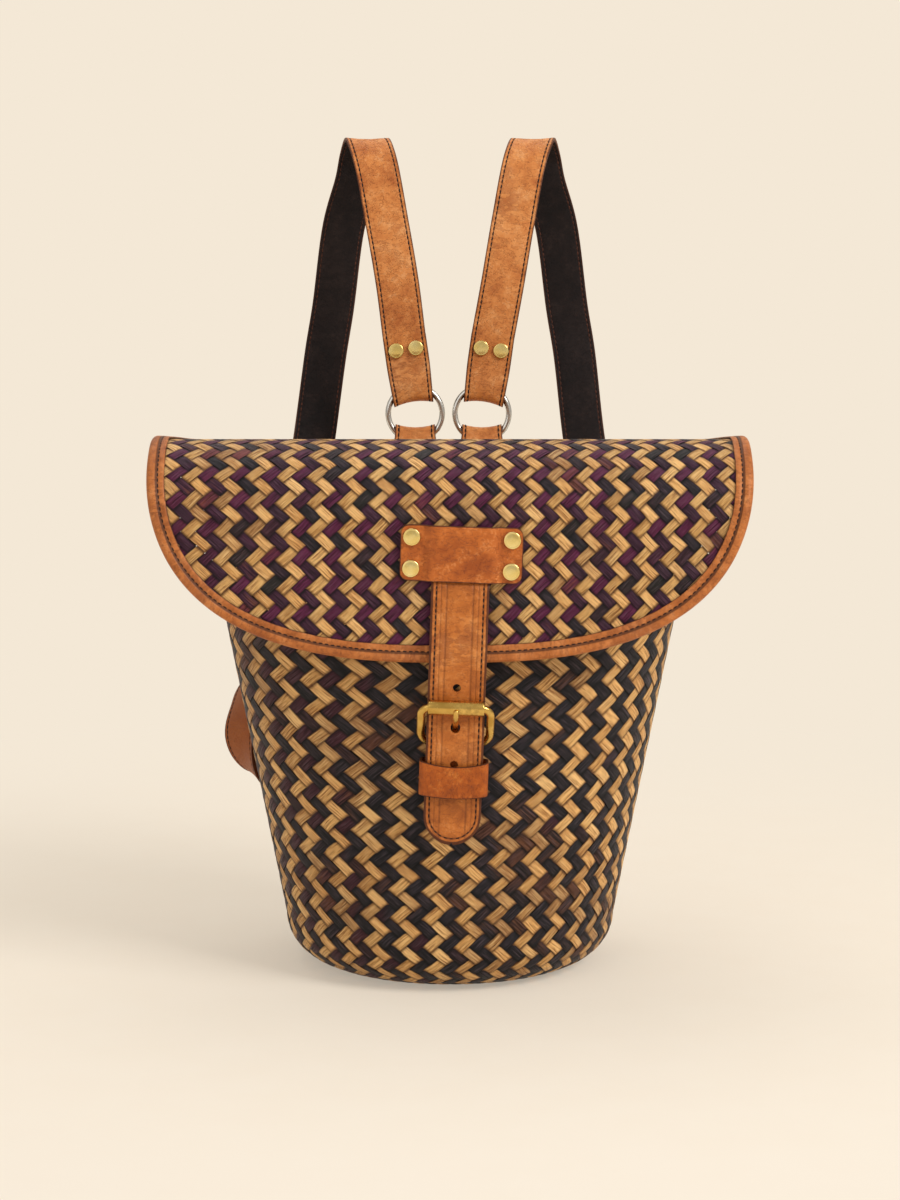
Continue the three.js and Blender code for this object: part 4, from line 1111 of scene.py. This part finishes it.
def tabPath(x):
    bottom = hinge["z"] - tab["fall"]
    rivetZ = hinge["z"] - tab["rivetFall"]
    flatTop = rivetZ + tab["flatReach"]
    bends = [hinge["z"] - fall for fall in tab["bends"]]

    def slope(z):
        return (stripY(x + 5, z) - stripY(x - 5, z)) / 10

    def front(z):
        rise = ramped(z, bottom, hinge["z"])
        sag = tab["bottomSag"] + (tab["topSag"] - tab["bottomSag"]) * rise
        return stripY(x, z) + strip["thick"] / 2 + clearance + tab["thick"] / 2 + sag

    lower = [
        (front(z), z, slope(rivetZ if z <= flatTop else z)) for z in (bottom, flatTop, *bends)
    ]
    inner = lower + [(hinge["y"] + behind, hinge["z"] + above, 0) for behind, above in tab["inner"]]
    foldInner = ring["wire"] + clearance
    foldRadius = foldInner + tab["thick"] / 2
    foldZ = ringCentreZ - tab["clearance"] - foldInner
    arc = [
        (ringPlaneY + foldRadius * math.cos(a), foldZ + foldRadius * math.sin(a), 0)
        for a in np.linspace(math.pi, 0, 9)
    ]
    wireBottom = ringCentreZ - ring["radius"] - ring["wire"]
    outer = [
        (ringPlaneY + foldRadius - before, wireBottom + above, slope(bends[1]) if k == 2 else 0)
        for k, (before, above) in enumerate(tab["outer"])
    ]
    plySpacing = tab["thick"] + clearance + tab["plyEase"]
    back = [(y + plySpacing, z, tilt) for y, z, tilt in lower[2::-1]]
    route = curveThrough(inner + arc + outer + back, 4)
    at = placed(x, route[:, 0], route[:, 1])
    across = unit(placed(1, route[:, 2], 0))
    across, normal = facesAlong(at, across)
    spread = ramped(at[:, 2], hinge["z"] - 10, foldZ)
    half = tab["half"] + (tab["foldHalf"] - tab["half"]) * spread
    dip = ramped(at[:, 2], foldZ - 3, foldZ + foldRadius)[:, None] * [0, 0, -tab["dip"]]
    return at, across, normal, half, dip


strap = {
    "half": 12.4, "foldHalf": 11.6, "thick": 1.6, "lining": 0.8, "lean": 8, "tail": 45.5,
    "rivetHeight": 37.9, "rivetApart": 11.6,
    "endTop": 80, "endBottom": 46, "endRivets": [67.5, 56.5],
    "landing": [(84, 3.8), (77, 0.2), (70, 0)], "ringEase": 0.5, "rivetRoom": 17, "seam": 0.15,
    "arch": 2.0,
}
leftRoute = [
    (-0.3326, 1.2174, 1.349, 0), (-0.3957, 1.2717, 1.5058, 0), (-0.4772, 1.3587, 1.6831, 0),
    (-0.5326, 1.5, 1.7332, 0), (-0.5761, 1.6196, 1.6891, 0), (-0.6087, 1.6522, 1.6241, 0),
    (-0.6902, 1.7065, 1.5063, 0), (-0.7652, 1.7391, 1.2794, 0), (-0.813, 1.7174, 1.1568, 0),
    (-0.8826, 1.6304, 0.9304, 10), (-0.9565, 1.5, 0.7193, 35), (-1.0543, 1.2174, 0.5104, 70),
    (-1.2174, 0.7826, 0.3248, 103), (-1.2717, 0.6087, 0.2552, 119), (-1.2946, 0.4728, 0.1671, 131),
    (-1.2228, 0.413, 0.0835, 111),
]
rightRoute = leftRoute[:9] + [
    (-0.8717, 1.6304, 0.9304, 5), (-0.9457, 1.4565, 0.7193, 15), (-1.0217, 1.1957, 0.5104, 30),
    (-1.0761, 0.913, 0.3248, 42), (-1.0761, 0.6739, 0.1763, 54), (-1.0272, 0.5109, 0.0696, 62),
]
sides["left"]["route"] = leftRoute
sides["right"]["route"] = rightRoute
strapInner = strap["seam"] + strap["lining"]
strapOuter = strap["seam"] + strap["thick"]
joinedY = strapInner + clearance


def strapUp(side):
    lean = math.radians(strap["lean"])
    return np.array([side["hand"] * math.sin(lean), 0, math.cos(lean)])


def strapPath(side):
    hand = side["hand"]
    up = strapUp(side)
    acrossRing = np.array([up[2], 0, -up[0]])
    foldInner = ring["wire"] + clearance
    foldRadius = foldInner + strapInner
    foldHeight = tab["clearance"] + foldInner
    narrowing = 0.6 * strap["foldHalf"] + 0.4 * strap["half"]
    ply = [
        (strap["tail"], joinedY, strap["half"]),
        (foldHeight + strap["rivetRoom"], joinedY, strap["half"]),
        (ring["radius"] + strap["ringEase"], foldRadius, narrowing),
    ]
    arc = [
        (foldHeight - foldRadius * math.sin(a), foldRadius * math.cos(a), strap["foldHalf"])
        for a in np.linspace(0, math.pi, 9)
    ]
    front = [(height, -depth, half) for height, depth, half in ply[::-1]]
    folded = curveThrough(ply + arc + front, 5)
    centre = np.array([side["ringX"], ringPlaneY, ringCentreZ])
    foldAt = centre + up * folded[:, :1] + np.array([0, 1, 0]) * folded[:, 1:2]
    wallTurn = math.radians(side["endTurn"])

    def onWall(z, lift=0):
        return wallPoint(hand * wallTurn, z, clearance + strapInner + lift)

    def along(z):
        sideways = -halfWidthAt(z) * math.cos(wallTurn)
        return unit(np.array([sideways, -hand * halfDepthAt(z) * math.sin(wallTurn), 0]))

    corner = basket["cornerRadius"]
    points = [foldAt[-1]]
    turns = [acrossRing]
    for x, y, share, angle in side["route"]:
        height = strap["endTop"] + (ringCentreZ - strap["endTop"]) * share
        turned = math.radians(angle)
        points.append(np.array([-hand * x * corner, y * corner, height]))
        turns.append(np.array([math.cos(turned), -hand * math.sin(turned), 0]))
    for z, lift in strap["landing"]:
        points.append(onWall(z, lift))
        turns.append(along(z))
    free = curveThrough(points, 8)[1:]
    freeAcross = curveThrough(turns, 8, rounded=False)[1:]
    tipZ = strap["endBottom"] + strap["half"]
    angles = np.linspace(0, math.radians(86), 12)
    tipHeights = tipZ - strap["half"] * np.sin(angles)
    tipAt = np.array([onWall(z) for z in tipHeights])
    tipAcross = np.array([along(z) for z in tipHeights])
    at = np.vstack([foldAt, free, tipAt])
    across = np.vstack([np.broadcast_to(acrossRing, foldAt.shape), freeAcross, tipAcross])
    half = np.concatenate([
        folded[:, 2], np.full(len(free), strap["half"]), strap["half"] * np.cos(angles),
    ])
    across, normal = facesAlong(at, unit(across))
    nearFold = 1 - ramped(folded[:, 0], foldHeight - foldRadius + 1, foldHeight + 8)
    arch = np.zeros((len(at), 1))
    arch[:len(foldAt), 0] = nearFold
    return at, across, normal, half, arch * up * strap["arch"]


# Line of a strap's stitches along one of its edges
def edgeLine(at, across, normal, half, push, sign, out):
    share = 1 - seamInset / strapInsets[-1]
    return at + across * (sign * half * share)[:, None] + normal * out + push * (1 - share ** 2)


def strapSide(name, side):
    wireRing = ringPiece(f"ring_{name}", side)
    finished(wireRing, satinNickel, f"ring_{name}", [f"ring_{name}"])

    at, across, normal, half, dip = tabPath(side["ringX"])
    places, hide = strapPlaces(at, across, normal, half, 0, dip)
    tabLeather = leatherPiece(f"ring_tab_{name}", places, hide, tab["thick"])
    finished(tabLeather, ringTabLeather, "basket", [f"ring_tab_{name}"])
    for sign in (-1, 1):
        line = edgeLine(at, across, normal, half, dip, sign, tab["thick"] / 2)
        stitchLine(f"tab_stitches_{name}_{sign + 1}", line[6:-3], normal[6:-3], darkThread, "basket")
    bottom, top = at[-1], at[-5]
    rivetZ = hinge["z"] - tab["rivetFall"]
    share = (rivetZ - bottom[2]) / (top[2] - bottom[2])
    for k, sign in enumerate((-1, 1)):
        spot = bottom + (top - bottom) * share + across[-1] * sign * tab["rivetApart"] / 2
        spot = spot + normal[-1] * tab["thick"] / 2
        grip = (spot[1] - wallY(spot[0], spot[2])) * normal[-1][1] + innerWall
        rivetPiece(f"ring_tab_{name}_rivet_{k + 1}", spot, normal[-1], grip)

    at, across, normal, half, arch = strapPath(side)
    middle = (strap["seam"] + strapOuter) / 2
    places, hide = strapPlaces(at, across, normal, half, middle, arch)
    outside = leatherPiece(f"shoulder_strap_{name}", places, hide, strap["thick"])
    finished(outside, strapLeather, "basket", [f"shoulder_strap_{name}"])
    middle = -(strap["seam"] + strapInner) / 2
    places, hide = strapPlaces(at, across, normal, half, middle, arch, -1)
    inside = leatherPiece(f"shoulder_lining_{name}", places, hide, strap["lining"])
    finished(inside, liningLeather, "basket", [f"shoulder_lining_{name}"])
    faces = [("outer", 1, strapOuter, darkThread), ("inner", -1, strapInner, liningThread)]
    for face, way, out, thread in faces:
        for sign in (-1, 1):
            line = edgeLine(at, across, normal, half, arch, sign, (out - 0.1) * way)
            label = f"strap_stitches_{name}_{face}_{sign + 1}"
            stitchLine(label, line[:-2], normal[:-2] * way, thread, "basket")
    up = strapUp(side)
    front = np.array([side["ringX"], ringPlaneY - joinedY - strapOuter, ringCentreZ])
    aside = np.array([up[2], 0, -up[0]])
    for k, sign in enumerate((-1, 1)):
        spot = front + up * strap["rivetHeight"] + aside * sign * strap["rivetApart"] / 2
        grip = 2 * (joinedY + strapOuter)
        rivetPiece(f"shoulder_strap_{name}_rivet_{k + 1}", spot, (0, -1, 0), grip)
    for k, z in enumerate(strap["endRivets"]):
        turn = side["hand"] * math.radians(side["endTurn"])
        spot = wallPoint(turn, z, clearance + strapInner + strapOuter)
        outward = normal[np.argmin(np.abs(at[-12:, 2] - z)) - 12]
        grip = strapOuter + strapInner + clearance + innerWall
        rivetPiece(f"strap_end_{name}_rivet_{k + 1}", spot, outward, grip)


for sideName, side in sides.items():
    strapSide(sideName, side)
print("straps and rings made")

# Closure: made in its own frame, whose z runs up the strap, and then set on the flap

closure = {
    "x": 5.9, "z": flap["bendZ"] - 16.2, "tilt": math.radians(2),
    "half": 14.1, "top": 10, "tip": -151, "thick": 3.5,
    "holes": [(-68.8, 2.1, 2.1), (-109.5, 2.1, 2.1), (-89.9, 2.5, 2.9)],
}
plate = {
    "halfWidth": 31.4, "halfHeight": 14.4, "clip": 4.8, "thick": 2, "rivetX": 25.7, "rivetZ": 8.1,
    "rise": 1.2, "riseEnd": 6, "overTongue": 2.4,
}
buckle = {
    "z": -99.5, "beforeWall": 5.55, "reach": 24.4, "lean": math.radians(31.9), "wire": 2.1,
    "halfWidth": 17.9, "frontCorner": 5.2, "heelCorner": 7.5, "rollerRadius": 4, "rollerLength": 29,
}
flapFace = flap["frontY"] - clearance
heelY = -halfDepthAt(closure["z"] + buckle["z"]) - buckle["beforeWall"]
rollerOut = buckle["reach"] * math.sin(buckle["lean"])
rollerUp = buckle["reach"] * math.cos(buckle["lean"])
rollerZ = buckle["z"] + rollerUp


def onClosure(places):
    x, y, z = np.moveaxis(np.asarray(places, float), -1, 0)
    cosine, sine = math.cos(closure["tilt"]), math.sin(closure["tilt"])
    return placed(x * cosine + z * sine + closure["x"], y, z * cosine - x * sine + closure["z"])


def setOnClosure(obj):
    writePoints(obj, onClosure(readPoints(obj) / mm) * mm)
    return obj


# Measures of a strap with a round tip, taken anew after it has been cut
def markStrap(obj, half, top, tip):
    x, _, z = (readPoints(obj) / mm).T
    fromMiddle = np.hypot(x, np.minimum(z - tip - half, 0))
    obj.data.attributes.remove(obj.data.attributes["hide"])
    markPoints(obj, "hide", placed(x, np.minimum(half - fromMiddle, top - z), z))
    return obj


plateX = np.concatenate([
    -plate["halfWidth"] + np.array([0, 0.5, 1.3, 2.4, 3.6, 4.8, 7, 9.5]),
    [-20.1, -18.5, -16.8, -15.3, -12, -6, 0],
])
plateX = np.concatenate([plateX, -plateX[-2::-1]])
plateV = np.array([-1, -0.96, -0.9, -0.7, -0.4, 0, 0.4, 0.7, 0.9, 0.96, 1])
fromClip = np.clip(np.abs(plateX) - (plate["halfWidth"] - plate["clip"]), 0, plate["clip"])
clipped = 1 - np.sqrt(1 - (fromClip / plate["clip"]) ** 2.4)
plateHalf = plate["halfHeight"] - plate["clip"] * clipped
raised = 1 - ramped(np.abs(plateX) - closure["half"], plate["rise"], plate["riseEnd"])
plateY = flapFace - plate["thick"] / 2 - plate["overTongue"] * raised
plateGrid = placed(plateX[:, None], plateY[:, None], plateHalf[:, None] * plateV)
plateGrid[..., 1] += 0.12 * np.sin(plateGrid[..., 0] * 0.16 + 1) * np.cos(plateGrid[..., 2] * 0.2)
plateEnd = plate["halfWidth"] - np.abs(plateX)[:, None]
plateSide = np.minimum(plateEnd, plateHalf[:, None] * (1 - np.abs(plateV)))
plateHide = placed(plateGrid[..., 0], plateSide, plateGrid[..., 2])
closurePlate = setOnClosure(leatherPiece("closure_plate", plateGrid, plateHide, plate["thick"]))
finished(closurePlate, plateLeather, "flap", ["closure_plate"])
for k, (sign, level) in enumerate([(-1, 1), (1, 1), (-1, -1), (1, -1)]):
    spot = onClosure([sign * plate["rivetX"], flapFace - plate["thick"], level * plate["rivetZ"]])
    grip = plate["thick"] + clearance + flap["thickness"]
    rivetPiece(f"closure_rivet_{k + 1}", spot, (0, -1, 0), grip)

# The strap that hangs from under the plate: its back face and thickness by height
tongueBackTop = flapFace - 0.1
behindRoller = rollerOut - buckle["rollerRadius"] - closure["thick"] - clearance - 0.09
overEdge = flap["frontY"] - flapEdge["bulge"]
tongueBack = np.array([
    (closure["top"], tongueBackTop, 2), (-14.7, tongueBackTop, 2), (-16.4, tongueBackTop, 3.5),
    (-38, tongueBackTop - 1, 3.5), (-46, overEdge, 3.5), (-56, overEdge, 3.5),
    (rollerZ + 10.8, heelY - behindRoller - 1.8, 3.5), (rollerZ - 0.2, heelY - behindRoller, 3.5),
    (buckle["z"] + 7.5, heelY - buckle["wire"] - 2.7, 3.5),
    (buckle["z"] - 2.3, heelY - buckle["wire"] - 2.6, 3.5), (-112, heelY - 2.4, 3.5),
    (-118, heelY - 1.8, 3.5), (closure["tip"] + closure["half"], heelY - 1.3, 3.5),
    (closure["tip"], heelY - 1.3, 3.5),
])
tipAngles = np.linspace(0, math.radians(87), 14)
tongueZ = np.concatenate([
    [closure["top"], 0, -10, -14.7, -16.4],
    np.arange(-18.5, closure["tip"] + closure["half"] + 1, -2.2),
    closure["tip"] + closure["half"] * (1 - np.sin(tipAngles)),
])
tongueHalf = np.full(len(tongueZ), float(closure["half"]))
tongueHalf[-len(tipAngles):] *= np.cos(tipAngles)
order = np.argsort(tongueBack[:, 0])
backY = np.interp(tongueZ, tongueBack[order, 0], tongueBack[order, 1])
backY = np.convolve(np.pad(backY, 2, mode="edge"), np.ones(5) / 5, mode="valid")
thickness = np.interp(tongueZ, tongueBack[order, 0], tongueBack[order, 2])
middleY = backY - thickness / 2
# The tongue's section from its middle to its edge: distance and how far the leather stands out
tongueSection = np.array([
    (0, 0.1), (2.5, 0.08), (5.2, 0.05), (6.3, 0), (6.8, -0.42), (7.3, 0), (8.2, 0.12), (9.1, 0.02),
    (9.6, -0.25), (10.1, 0.02), (11.1, 0.08), (11.7, 0), (12.1, -0.3), (12.5, 0), (13.3, 0.02),
    (13.8, -0.05), (14.1, -0.2),
])
tongueU, press = np.concatenate([tongueSection[::-1] * [-1, 1], tongueSection[1:]]).T
fade = (tongueHalf / closure["half"])[:, None]
tongueFront = placed(
    tongueU * fade, middleY[:, None] - press * fade, tongueZ[:, None],
)


def drillThrough(obj, z, halfWidth, halfHeight):
    bpy.ops.mesh.primitive_cylinder_add(
        vertices=28, radius=mm, depth=40 * mm, location=(0, heelY * mm, z * mm),
        rotation=(math.pi / 2, 0, 0),
    )
    cutAway(obj, bpy.context.object, (halfWidth, halfHeight, 1))


closureStrap = leatherPiece("closure_strap", tongueFront, 0 * tongueFront, closure["thick"])
x, y, z = (readPoints(closureStrap) / mm).T
middle = np.interp(-z, -tongueZ, middleY)
thin = np.interp(-z, -tongueZ, thickness) / closure["thick"]
writePoints(closureStrap, placed(x, middle + (y - middle) * thin, z) * mm)
for hole in closure["holes"]:
    drillThrough(closureStrap, *hole)
smoothed(markStrap(closureStrap, closure["half"], closure["top"], closure["tip"]))
finished(setOnClosure(closureStrap), closureLeather, "flap", ["closure_strap"])

tipTurn = np.linspace(0, math.pi, 40)
seamHalf = closure["half"] - 2.0
roundZ = closure["tip"] + closure["half"]
seamDown = np.arange(-15.5, roundZ, -2)
seamSide = np.full(len(seamDown), seamHalf)
seamX = np.concatenate([-seamSide, -seamHalf * np.cos(tipTurn), seamSide])
seamZ = np.concatenate([seamDown, roundZ - seamHalf * np.sin(tipTurn), seamDown[::-1]])
seamY = np.interp(-seamZ, -tongueZ, middleY - thickness / 2) + 0.12
tongueSeam = onClosure(placed(seamX, seamY, seamZ))
stitchLine("closure_stitches", tongueSeam, (0, -1, 0), darkThread, "flap")
print("closure made")

# Buckle strap, folded round the heel bar, with its keeper

keeper = {
    "half": 17.9, "wall": 1.4, "top": -107.9, "height": 18,
    "behind": 5.3, "before": 8.7, "bend": 3.4, "dip": 2.6,
}
backStrap = {
    "half": 12.5, "thick": 1.7, "tip": -148.5, "rivets": [-134.5, -143], "bend": 4,
    "slot": (4.4, 19, 15),
}
keeperBottom = keeper["top"] - keeper["height"]
keeperBackY = heelY + keeper["behind"]
keeperFrontY = heelY - keeper["before"]
plyStep = backStrap["thick"] + clearance + 0.1


def backPlyAt(z):
    onWall = -halfDepthAt(closure["z"] + z) - clearance - 0.35
    inKeeper = keeperBackY - keeper["wall"] - clearance - 0.1
    down = ramped(keeperBottom - z, 0, backStrap["bend"])
    return inKeeper + (onWall - inKeeper) * down - backStrap["thick"] / 2


endAngles = np.linspace(math.radians(85), 0, 9)
endZ = backStrap["tip"] + backStrap["half"] * (1 - np.sin(endAngles))
plyZ = np.concatenate([endZ, np.linspace(endZ[-1], keeper["top"] - 10, 12)[1:]])
plyHalf = np.concatenate([backStrap["half"] * np.cos(endAngles), np.full(11, backStrap["half"])])
foldMiddle = buckle["wire"] + clearance + backStrap["thick"] / 2
arcAngles = np.linspace(math.pi, 0, 17)
arcY = heelY + foldMiddle * np.cos(arcAngles)
arcZ = buckle["z"] + foldMiddle * np.sin(arcAngles)
# The front ply lies ahead of the heel bar and the back ply behind it
backStrapY = np.concatenate([backPlyAt(plyZ) - plyStep, arcY, backPlyAt(plyZ)[::-1]])
backStrapZ = np.concatenate([plyZ, arcZ, plyZ[::-1]])
backStrapHalf = np.concatenate([plyHalf, np.full(17, backStrap["half"]), plyHalf[::-1]])
at = placed(0, backStrapY, backStrapZ)
across, normal = facesAlong(at, (1, 0, 0))
places, hide = strapPlaces(at, across, normal, backStrapHalf, 0)
buckleStrap = leatherPiece("buckle_strap", places, hide, backStrap["thick"])
bpy.ops.mesh.primitive_cube_add(size=mm, location=(0, (heelY - 1) * mm, (buckle["z"] + 0.5) * mm))
cutAway(buckleStrap, bpy.context.object, backStrap["slot"])
smoothed(markStrap(buckleStrap, backStrap["half"], 0, backStrap["tip"]))
finished(setOnClosure(buckleStrap), closureLeather, "basket", ["buckle_strap"])
for k, z in enumerate(backStrap["rivets"]):
    front = backPlyAt(z) - plyStep - backStrap["thick"] / 2
    spot = onClosure([0, front, z])
    grip = innerWall - wallY(spot[0], spot[2]) - front
    rivetPiece(f"buckle_strap_rivet_{k + 1}", spot, (0, -1, 0), grip, radius=3.4, tall=0.55)


def roundedOutline(halfWidth, low, high, lowRadius, highRadius, steps):
    corners = [
        (1, high - highRadius, highRadius, 0), (-1, high - highRadius, highRadius, 90),
        (-1, low + lowRadius, lowRadius, 180), (1, low + lowRadius, lowRadius, 270),
    ]
    made = []
    for sign, level, radius, start in corners:
        for angle in np.radians(np.linspace(start, start + 90, steps + 1)):
            x = sign * (halfWidth - radius) + radius * math.cos(angle)
            made.append((x, level + radius * math.sin(angle)))
    return np.array(made)


def denser(loop, step):
    closed = np.vstack([loop, loop[:1]])
    run = runAlong(closed)
    wanted = np.linspace(0, run[-1], int(run[-1] / step), endpoint=False)
    return sampled(wanted, run, closed)


inset = keeper["wall"] / 2
loop = denser(roundedOutline(
    keeper["half"] - inset, keeperFrontY + inset, keeperBackY - inset,
    keeper["bend"] - inset, keeper["bend"] - inset, 6,
), 1.3)
loop = np.vstack([loop, loop[:1]])
levels = np.array([0, 0.4, 1.2, 3, 6, 9, 12, 15, 16.8, 17.6, 18]) / 18
onFront = (loop[:, 1] < keeperFrontY + 4) * np.clip(1 - (loop[:, 0] / 17) ** 2, 0, 1)
sunk = keeper["dip"] * onFront[:, None] * (0.5 + levels / 2)
keeperPlaces = placed(
    loop[:, None, 0], loop[:, None, 1] - 0.5 * onFront[:, None],
    keeperBottom + keeper["height"] * levels - sunk,
)
keeperEdge = np.minimum(levels, 1 - levels) * keeper["height"]
keeperHide = placed(keeperPlaces[..., 2], keeperEdge, keeperPlaces[..., 0])
strapKeeper = leatherPiece("strap_keeper", keeperPlaces, keeperHide, keeper["wall"], loop=True)
finished(setOnClosure(strapKeeper), keeperLeather, "basket", ["strap_keeper"])
print("buckle strap and keeper made")

# Buckle: bent frame, roller and prong

frameLoop = denser(roundedOutline(
    buckle["halfWidth"], 0, buckle["reach"], buckle["heelCorner"], buckle["frontCorner"], 10,
), 1.1)
frameShare = frameLoop[:, 1] / buckle["reach"]
framePath = placed(
    frameLoop[:, 0], heelY - rollerOut * frameShare, buckle["z"] + rollerUp * frameShare,
)
planeNormal = unit(np.cross([1.0, 0, 0], [0, -rollerOut, rollerUp]))
flatter = 0.93 - 0.05 * np.cos(frameShare * 2 * math.pi)
buckleFrame = wirePiece(
    "buckle_frame", framePath, planeNormal, buckle["wire"] * flatter, buckle["wire"], loop=True,
)
finished(setOnClosure(buckleFrame), agedBrass, "buckle_frame", ["buckle_frame"])

rollerHalf = buckle["rollerLength"] / 2
rollerEnd = [(2.5, 0.3), (3.2, 0), (3.6, 0.06), (3.9, 0.3), (4, 0.7), (4, 4)]
rollerOutline = [
    *[(radius, inset - rollerHalf) for radius, inset in rollerEnd], (4, 0),
    *[(radius, rollerHalf - inset) for radius, inset in rollerEnd[::-1]], (2.4, 0),
    (rollerEnd[0][0], rollerEnd[0][1] - rollerHalf),
]
rollerAt = np.array([0, heelY - rollerOut, rollerZ])
buckleRoller = turnedPiece("buckle_roller", rollerOutline, rollerAt, (1, 0, 0), 36)
finished(setOnClosure(buckleRoller), agedBrass, "buckle_roller", ["buckle_roller"])

shank = [(3.15, 0), (3.2, 5.0), (4.61, 8.59), (8.59, 10.59), (13.0, 13.2)]
restY = rollerOut + buckle["rollerRadius"] + clearance + 1
shank = shank + [(restY - 1.8, 0.68 * buckle["reach"]), (restY, rollerUp - 0.4)]
prongPath = curveThrough([(0, heelY - ahead, buckle["z"] + up) for ahead, up in shank], 6)
share = np.linspace(0, 1, len(prongPath))
taper = (1.12 - 0.22 * share) * np.sqrt(np.clip(1 - ((share - 0.5) / 0.5) ** 16, 0, 1))
prongShank = wirePiece("prong_shank", prongPath, (1, 0, 0), 1.5 * taper, taper, 14)
eyeOutline = [
    (2.4, -1.4), (2.7, -1.6), (3.6, -1.6), (3.9, -1.35), (3.9, 1.35), (3.6, 1.6), (2.7, 1.6),
    (2.4, 1.4), (2.4, -1.4),
]
prongEye = turnedPiece("prong_eye", eyeOutline, np.array([0, heelY, buckle["z"]]), (1, 0, 0), 26)
buckleProng = joined("buckle_prong", prongShank, prongEye)
finished(setOnClosure(buckleProng), agedBrass, "buckle_prong", ["buckle_prong"])
print("buckle made")

# Camera, floor and light

camera = {"place": (0, -1.5, 0.4), "tilt": math.radians(82.4), "lens": 82.35, "sensor": 36}

bpy.ops.object.camera_add(location=camera["place"], rotation=(camera["tilt"], 0, 0))
bpy.context.object.data.lens = camera["lens"]
bpy.context.object.data.sensor_width = camera["sensor"]
bpy.context.scene.camera = bpy.context.object
bpy.context.scene.view_settings.view_transform = "Standard"

studio = {
    "floorSize": 9, "wallHeight": 5, "coveWidth": 1.6,
    "paperColour": "#F5EAD9", "fleckColour": "#F6ECDC",
    # Painted falloff of light: the paper is lighter at the front than at the back
    "frontColour": "#FAEEDE", "backColour": "#F4E8D6",
    "worldColour": "#FFF8EE", "worldLevel": 0.5,
    "lamps": [
        {"name": "key", "place": (2.0, -1.5, 1.9), "size": 1.2, "power": 56},
        {"name": "fill", "place": (-1.8, -2.4, 1.5), "size": 2.4, "power": 13},
        {"name": "top", "place": (-0.3, 0.9, 2.6), "size": 2.0, "power": 20},
    ],
    "aim": (0, 0, 0.2),
}


def pickFarEdge(floor):
    ends = readPoints(floor)[[list(edge.vertices) for edge in floor.data.edges]]
    isFar = (ends[..., 1] > studio["floorSize"] / 2 - 0.01) & (ends[..., 2] < 0.01)
    selectOnly(floor, "edges", isFar.all(axis=1))


def studioFloor():
    bpy.ops.mesh.primitive_plane_add(size=studio["floorSize"])
    floor = bpy.context.object
    floor.name = "studio_floor"
    # The far edge is pulled up to a wall, and then rounded where the two meet
    pickFarEdge(floor)
    bpy.ops.mesh.select_mode(type="EDGE")
    lift = {"value": (0, 0, studio["wallHeight"])}
    bpy.ops.mesh.extrude_region_move(TRANSFORM_OT_translate=lift)
    bpy.ops.object.mode_set(mode="OBJECT")
    pickFarEdge(floor)
    bpy.ops.mesh.bevel(offset=studio["coveWidth"], segments=24)
    bpy.ops.object.mode_set(mode="OBJECT")
    finish = Finish("studio_paper", Roughness=0.95, Specular_IOR_Level=0.1)
    place = finish.objectSpace()
    fleck = finish.noise(place, 30, 3)
    stops = [(0.3, studio["paperColour"]), (0.7, studio["fleckColour"])]
    finish.feed(Base_Color=finish.ramp(fleck, *stops))
    x, y, _ = finish.split(place)
    away = (x * x + y * y) ** 0.5
    seen = finish.node("ShaderNodeLightPath", output="Is Camera Ray")
    for ray in ("Is Glossy Ray", "Is Transmission Ray"):
        seen = seen + finish.node("ShaderNodeLightPath", output=ray)
    # The paper seen by the camera is painted lighter towards the front and darker towards the back,
    # a painted falloff of light
    stops = [(0, studio["frontColour"]), (1, studio["backColour"])]
    tone = finish.ramp(finish.step(y, -1.2, 0.4), *stops)
    paper = finish.node("ShaderNodeEmission", inputs={"Color": tone})
    share = seen * (finish.step(away, 0.2, 0.75) * 0.6 + 0.4)
    inputs = {0: share, 1: Wire(finish, finish.surface.outputs["BSDF"]), 2: paper}
    mixed = finish.node("ShaderNodeMixShader", inputs=inputs)
    output = finish.tree.nodes["Material Output"]
    finish.tree.links.new(mixed.socket, output.inputs["Surface"])
    floor.data.materials.append(finish.material)
    smoothed(floor, 30)


def studioLight():
    world = bpy.data.worlds.new("studio_world")
    bpy.context.scene.world = world
    world.use_nodes = True
    backdrop = world.node_tree.nodes["Background"]
    backdrop.inputs["Color"].default_value = linear(studio["worldColour"])
    backdrop.inputs["Strength"].default_value = studio["worldLevel"]
    for lamp in studio["lamps"]:
        away = np.array(lamp["place"]) - np.array(studio["aim"])
        pan = math.atan2(away[0], -away[1])
        tilt = math.atan2(math.hypot(away[0], away[1]), away[2])
        bpy.ops.object.light_add(type="AREA", location=lamp["place"], rotation=(tilt, 0, pan))
        light = bpy.context.object
        light.name = lamp["name"]
        light.data.size = lamp["size"]
        light.data.energy = lamp["power"]


studioFloor()
studioLight()
print("studio set")
